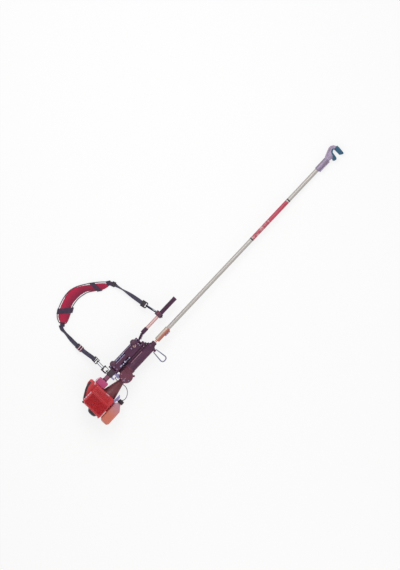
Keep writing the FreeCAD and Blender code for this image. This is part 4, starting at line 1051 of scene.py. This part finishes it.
carriage = {"cap": (-82.5, -246), "bolts": ((-74, -219, 4.2), (-84, -273, 4.2), (-60, -219, 3.2),
                                            (-60, -438, 3.2), (-84, -441, 4.0)),
            "nuts": ((-55, -366, 7.5), (-52, -385, 5.5), (-52, -327, 6.0)),
            "knobX": -104, "knobs": (-235, -430), "top": 17.8}


def makeCarriageDetails():
    x, y = carriage["cap"]
    pale = bevelled(roundBar("cap", 11, (x, y, 17.5), (x, y, 21), 48), 1.2, 3)
    selectFaces(pale, lambda c, n: n.z > 0.9)
    bpy.ops.mesh.inset(thickness=5 * mm)
    bpy.ops.transform.translate(value=(0, 0, -1.5 * mm))
    bpy.ops.object.mode_set(mode="OBJECT")
    seat(pale, "handle", finishes["handle_metal"]).name = "carriageCap"
    bolts = []
    top = carriage["top"]
    for x, y, r in carriage["bolts"]:
        bolts.append(bevelled(roundBar("bolt", r, (x, y, top), (x, y, 20.4), 24), 0.7, 2))
    for x, y, r in carriage["nuts"]:
        nut = bevelled(roundBar("nut", r, (x, y, top), (x, y, 22.5), 6), 0.8, 2)
        bolts += [nut, bevelled(roundBar("stud", 0.5 * r, (x, y, 22), (x, y, 25), 24), 0.7, 2)]
    bolts.append(bevelled(block("clip", (-60, -412, 17.6), (-50, -396, 20)), 0.9, 2))
    bolts.append(bevelled(block("edge", (-90.6, -446, 16.5), (-87.4, -330, 19)), 0.9, 2))
    seat(joinPieces(bolts, "carriageBolts"), "handle", finishes["bare_steel"])
    caps = []
    x = carriage["knobX"]
    for y in carriage["knobs"]:
        caps.append(bevelled(roundBar("knob", 15.5, (x, y, 21.5), (x, y, 24.5), 48), 1.5, 3))
        caps.append(bevelled(roundBar("knob", 7.5, (x, y, 24), (x, y, 26.5), 6), 0.8, 2))
    seat(joinPieces(caps, "carriageKnobs"), "handle", finishes["plum_plastic"])
    fill = [bevelled(block("fill", (-43.2, -440, -26), (-26, -205, -14)), 1.5, 2),
            bevelled(block("fill", (-66, -203.5, -15), (-27, -183, 11)), 3.5, 3),
            bevelled(block("fill", (-47, -190, 9), (-33, -176, 15)), 2.0, 3)]
    seat(joinPieces(fill, "frameFill"), "machine", finishes["dark_cast"])
    crown = prismPiece("crownRubber", [(-20, 1601), (-12, 1601), (-5, 1604.5), (-4, 1611), (-9, 1612.5)], -18.2, 18.2)
    seat(bevelled(crown, 1.5, 3), "pole", finishes["teal_rubber"])
    # the ridges on the guide cylinder and the chamber are in the lighter plum, painted highlight streaks along the
    # castings
    ribs = [bevelled(roundBar("ridge", 2.6, (-19.5, -345, 25), (-19.5, -240, 25), 24), 0.9, 2),
            bevelled(roundBar("ridge", 3.0, (21, -472, 28), (21, -440, 28), 24), 0.9, 2)]
    seat(joinPieces(ribs, "castRibs"), "machine", finishes["worn_plum"])


clip = {"x": (-137.0, -94.5), "y": (-513.0, -484.5), "bar": 9.5, "half": 4.2, "gateY": -475.0, "gateR": 2.4,
        "gateX": (-122.5, -109.0)}


def makeClip():
    (x0, x1), (y0, y1), b, h = clip["x"], clip["y"], clip["bar"], clip["half"]
    bars = [bevelled(block("side", (x0, y0, -h), (x0 + b, y1, h)), 2.2, 4),
            bevelled(block("foot", (x0, y0, -h), (x1, y0 + b, h)), 2.2, 4),
            bevelled(block("eye", (x0 + 1, y1 + 1.5, -h - 1.2), (x0 + 13, y1 + 14, -2.3)), 1.0, 3)]
    seat(joinPieces(bars, "clipFrame"), "handle", finishes["black_plastic"])
    g0, g1 = clip["gateX"]
    gate = roundBar("clipGate", clip["gateR"], (g0, clip["gateY"], 0), (g1, clip["gateY"], 0))
    bevelled(gate, 0.9, 3)
    seat(gate, "gate", finishes["black_plastic"])


buckle = {"size": (36, 50, 10), "middle": (-222, -1, 50), "towards": (94, 18, 43),
          "barMiddle": (-337, -502, 31.5), "barTowards": (60, 1, 14), "bars": (-3, 14), "barR": 3.0, "barHalf": 21}


def makeBuckleDetails():
    # moulded cheeks and tongue on the upper buckle, and bright bars on the adjuster
    w, l, t = buckle["size"]
    cheeks = [bevelled(block("cheek", (-l / 2 + 2, -w / 2 - 4, -t / 2), (l / 2 - 9, -w / 2 + 5, t / 2)), 2, 3),
              bevelled(block("cheek", (-l / 2 + 2, w / 2 - 5, -t / 2), (l / 2 - 9, w / 2 + 4, t / 2)), 2, 3),
              bevelled(block("tongue", (-l / 2 + 5, -w / 2 + 3, -t / 2 + 1), (7, w / 2 - 3, t / 2 + 1.5)), 2, 3),
              bevelled(block("tooth", (-l / 2 - 3, -4, -2.5), (-l / 2 + 6, 4, 2.5)), 1.2, 3)]
    whole = layAlong(joinPieces(cheeks, "buckleCheeks"), buckle["middle"], buckle["towards"])
    seat(whole, "handle", finishes["black_plastic"], leaning=False)
    bars = []
    half = buckle["barHalf"]
    for at in buckle["bars"]:
        bar = roundBar("bar", buckle["barR"], (at, -half, 0), (at, half, 0), 20)
        activate(bar)
        bpy.ops.object.transform_apply(location=True, rotation=True, scale=True)
        bars.append(bevelled(bar, 0.6, 2))
    whole = layAlong(joinPieces(bars, "adjusterBars"), buckle["barMiddle"], buckle["barTowards"])
    seat(whole, "handle", finishes["pale_trim"], leaning=False)


makeBellows()
makeCarriageDetails()
makeClip()
makeBuckleDetails()
swollen("rest_bail", "standWire", 0.9, lambda c: c.x > 50 * mm)
swollen("strap_links", "linkWires", 0.7, lambda c: True)
for node, name, width in (("hook_head", "hookBody", 2.2), ("hook_liners", "hookRubbers", 1.6),
                          ("carriage", "carriageBody", 2.0), ("crank_housing", "chamberBody", 1.2),
                          ("rear_clamp", "clampBody", 1.6), ("control_collar", "collarBody", 1.6),
                          ("pole_coupling", "couplingBody", 1.0), ("engine_shroud", "shroudBody", 1.4),
                          ("guide_cylinder", "cylinderBody", 1.2)):
    softCopy(node, name, width)
print("handle and castings made")


# camera, ground and light

shot = {"width": 3.762, "middle": (-0.042, 0.344), "turn": 43.25, "height": 3.0}
cam = bpy.data.cameras.new("camera")
cam.type = "ORTHO"
cam.ortho_scale = shot["width"]
camObject = bpy.data.objects.new("camera", cam)
bpy.context.collection.objects.link(camObject)
camObject.location = (*shot["middle"], shot["height"])
camObject.rotation_euler = (0, 0, math.radians(shot["turn"]))
bpy.context.scene.camera = camObject

clearSelection()
bpy.ops.mesh.primitive_plane_add(size=30, location=(0, 0, ground - 0.0005))
floor = bpy.context.object
floor.name = "floor"
floorPaint = Finish("floorPaint", (0.95, 0.95, 0.95, 1), 1.0)
floorPaint.bsdf.inputs["Specular IOR Level"].default_value = 0.0
floor.data.materials.append(floorPaint.done())
white = {"floorShare": 0.8, "skyLight": 0.55, "skySeen": 1.0}


def whiteOnSight(tree):
    # one where the camera, a glossy ray or a transmitted one looks
    rays = tree.nodes.new("ShaderNodeLightPath")
    seen = None
    for kind in ("Is Camera Ray", "Is Glossy Ray", "Is Transmission Ray"):
        if seen is None:
            seen = rays.outputs[kind]
            continue
        most = tree.nodes.new("ShaderNodeMath")
        most.operation = "MAXIMUM"
        tree.links.new(seen, most.inputs[0])
        tree.links.new(rays.outputs[kind], most.inputs[1])
        seen = most.outputs[0]
    return seen


glow = floorPaint.add("ShaderNodeEmission")
glow.inputs["Color"].default_value = (1, 1, 1, 1)
glow.inputs["Strength"].default_value = 1.0
blend = floorPaint.add("ShaderNodeMixShader")
share = floorPaint.math("MULTIPLY", whiteOnSight(floorPaint.tree), white["floorShare"])
floorPaint.link(share, blend.inputs[0])
floorPaint.link(floorPaint.bsdf.outputs[0], blend.inputs[1])
floorPaint.link(glow.outputs[0], blend.inputs[2])
floorPaint.link(blend.outputs[0], floorPaint.nodes["Material Output"].inputs["Surface"])

world = bpy.data.worlds.new("studio")
world.use_nodes = True
bpy.context.scene.world = world
sky = world.node_tree.nodes["Background"]
sky.inputs["Color"].default_value = (1, 1, 1, 1)
skyTree = world.node_tree
level = skyTree.nodes.new("ShaderNodeMapRange")      # dimmer as a light than where it is looked at
level.inputs["To Min"].default_value = white["skyLight"]
level.inputs["To Max"].default_value = white["skySeen"]
skyTree.links.new(whiteOnSight(skyTree), level.inputs["Value"])
skyTree.links.new(level.outputs[0], sky.inputs["Strength"])


def softLamp(name, size, power, where, aim):
    lamp = bpy.data.lights.new(name, "AREA")
    lamp.size = size
    lamp.energy = power
    o = bpy.data.objects.new(name, lamp)
    bpy.context.collection.objects.link(o)
    o.location = where
    o.rotation_euler = (Vector(aim) - Vector(where)).to_track_quat("-Z", "Y").to_euler()


softLamp("keyLamp", 2.5, 62, (-1.6, 1.4, 3.4), (0, 0.3, 0))
softLamp("fillLamp", 3.0, 22, (2.4, -1.2, 2.6), (0, 0.2, 0))

bpy.context.scene.view_settings.view_transform = "Standard"
print("camera, ground and light made")
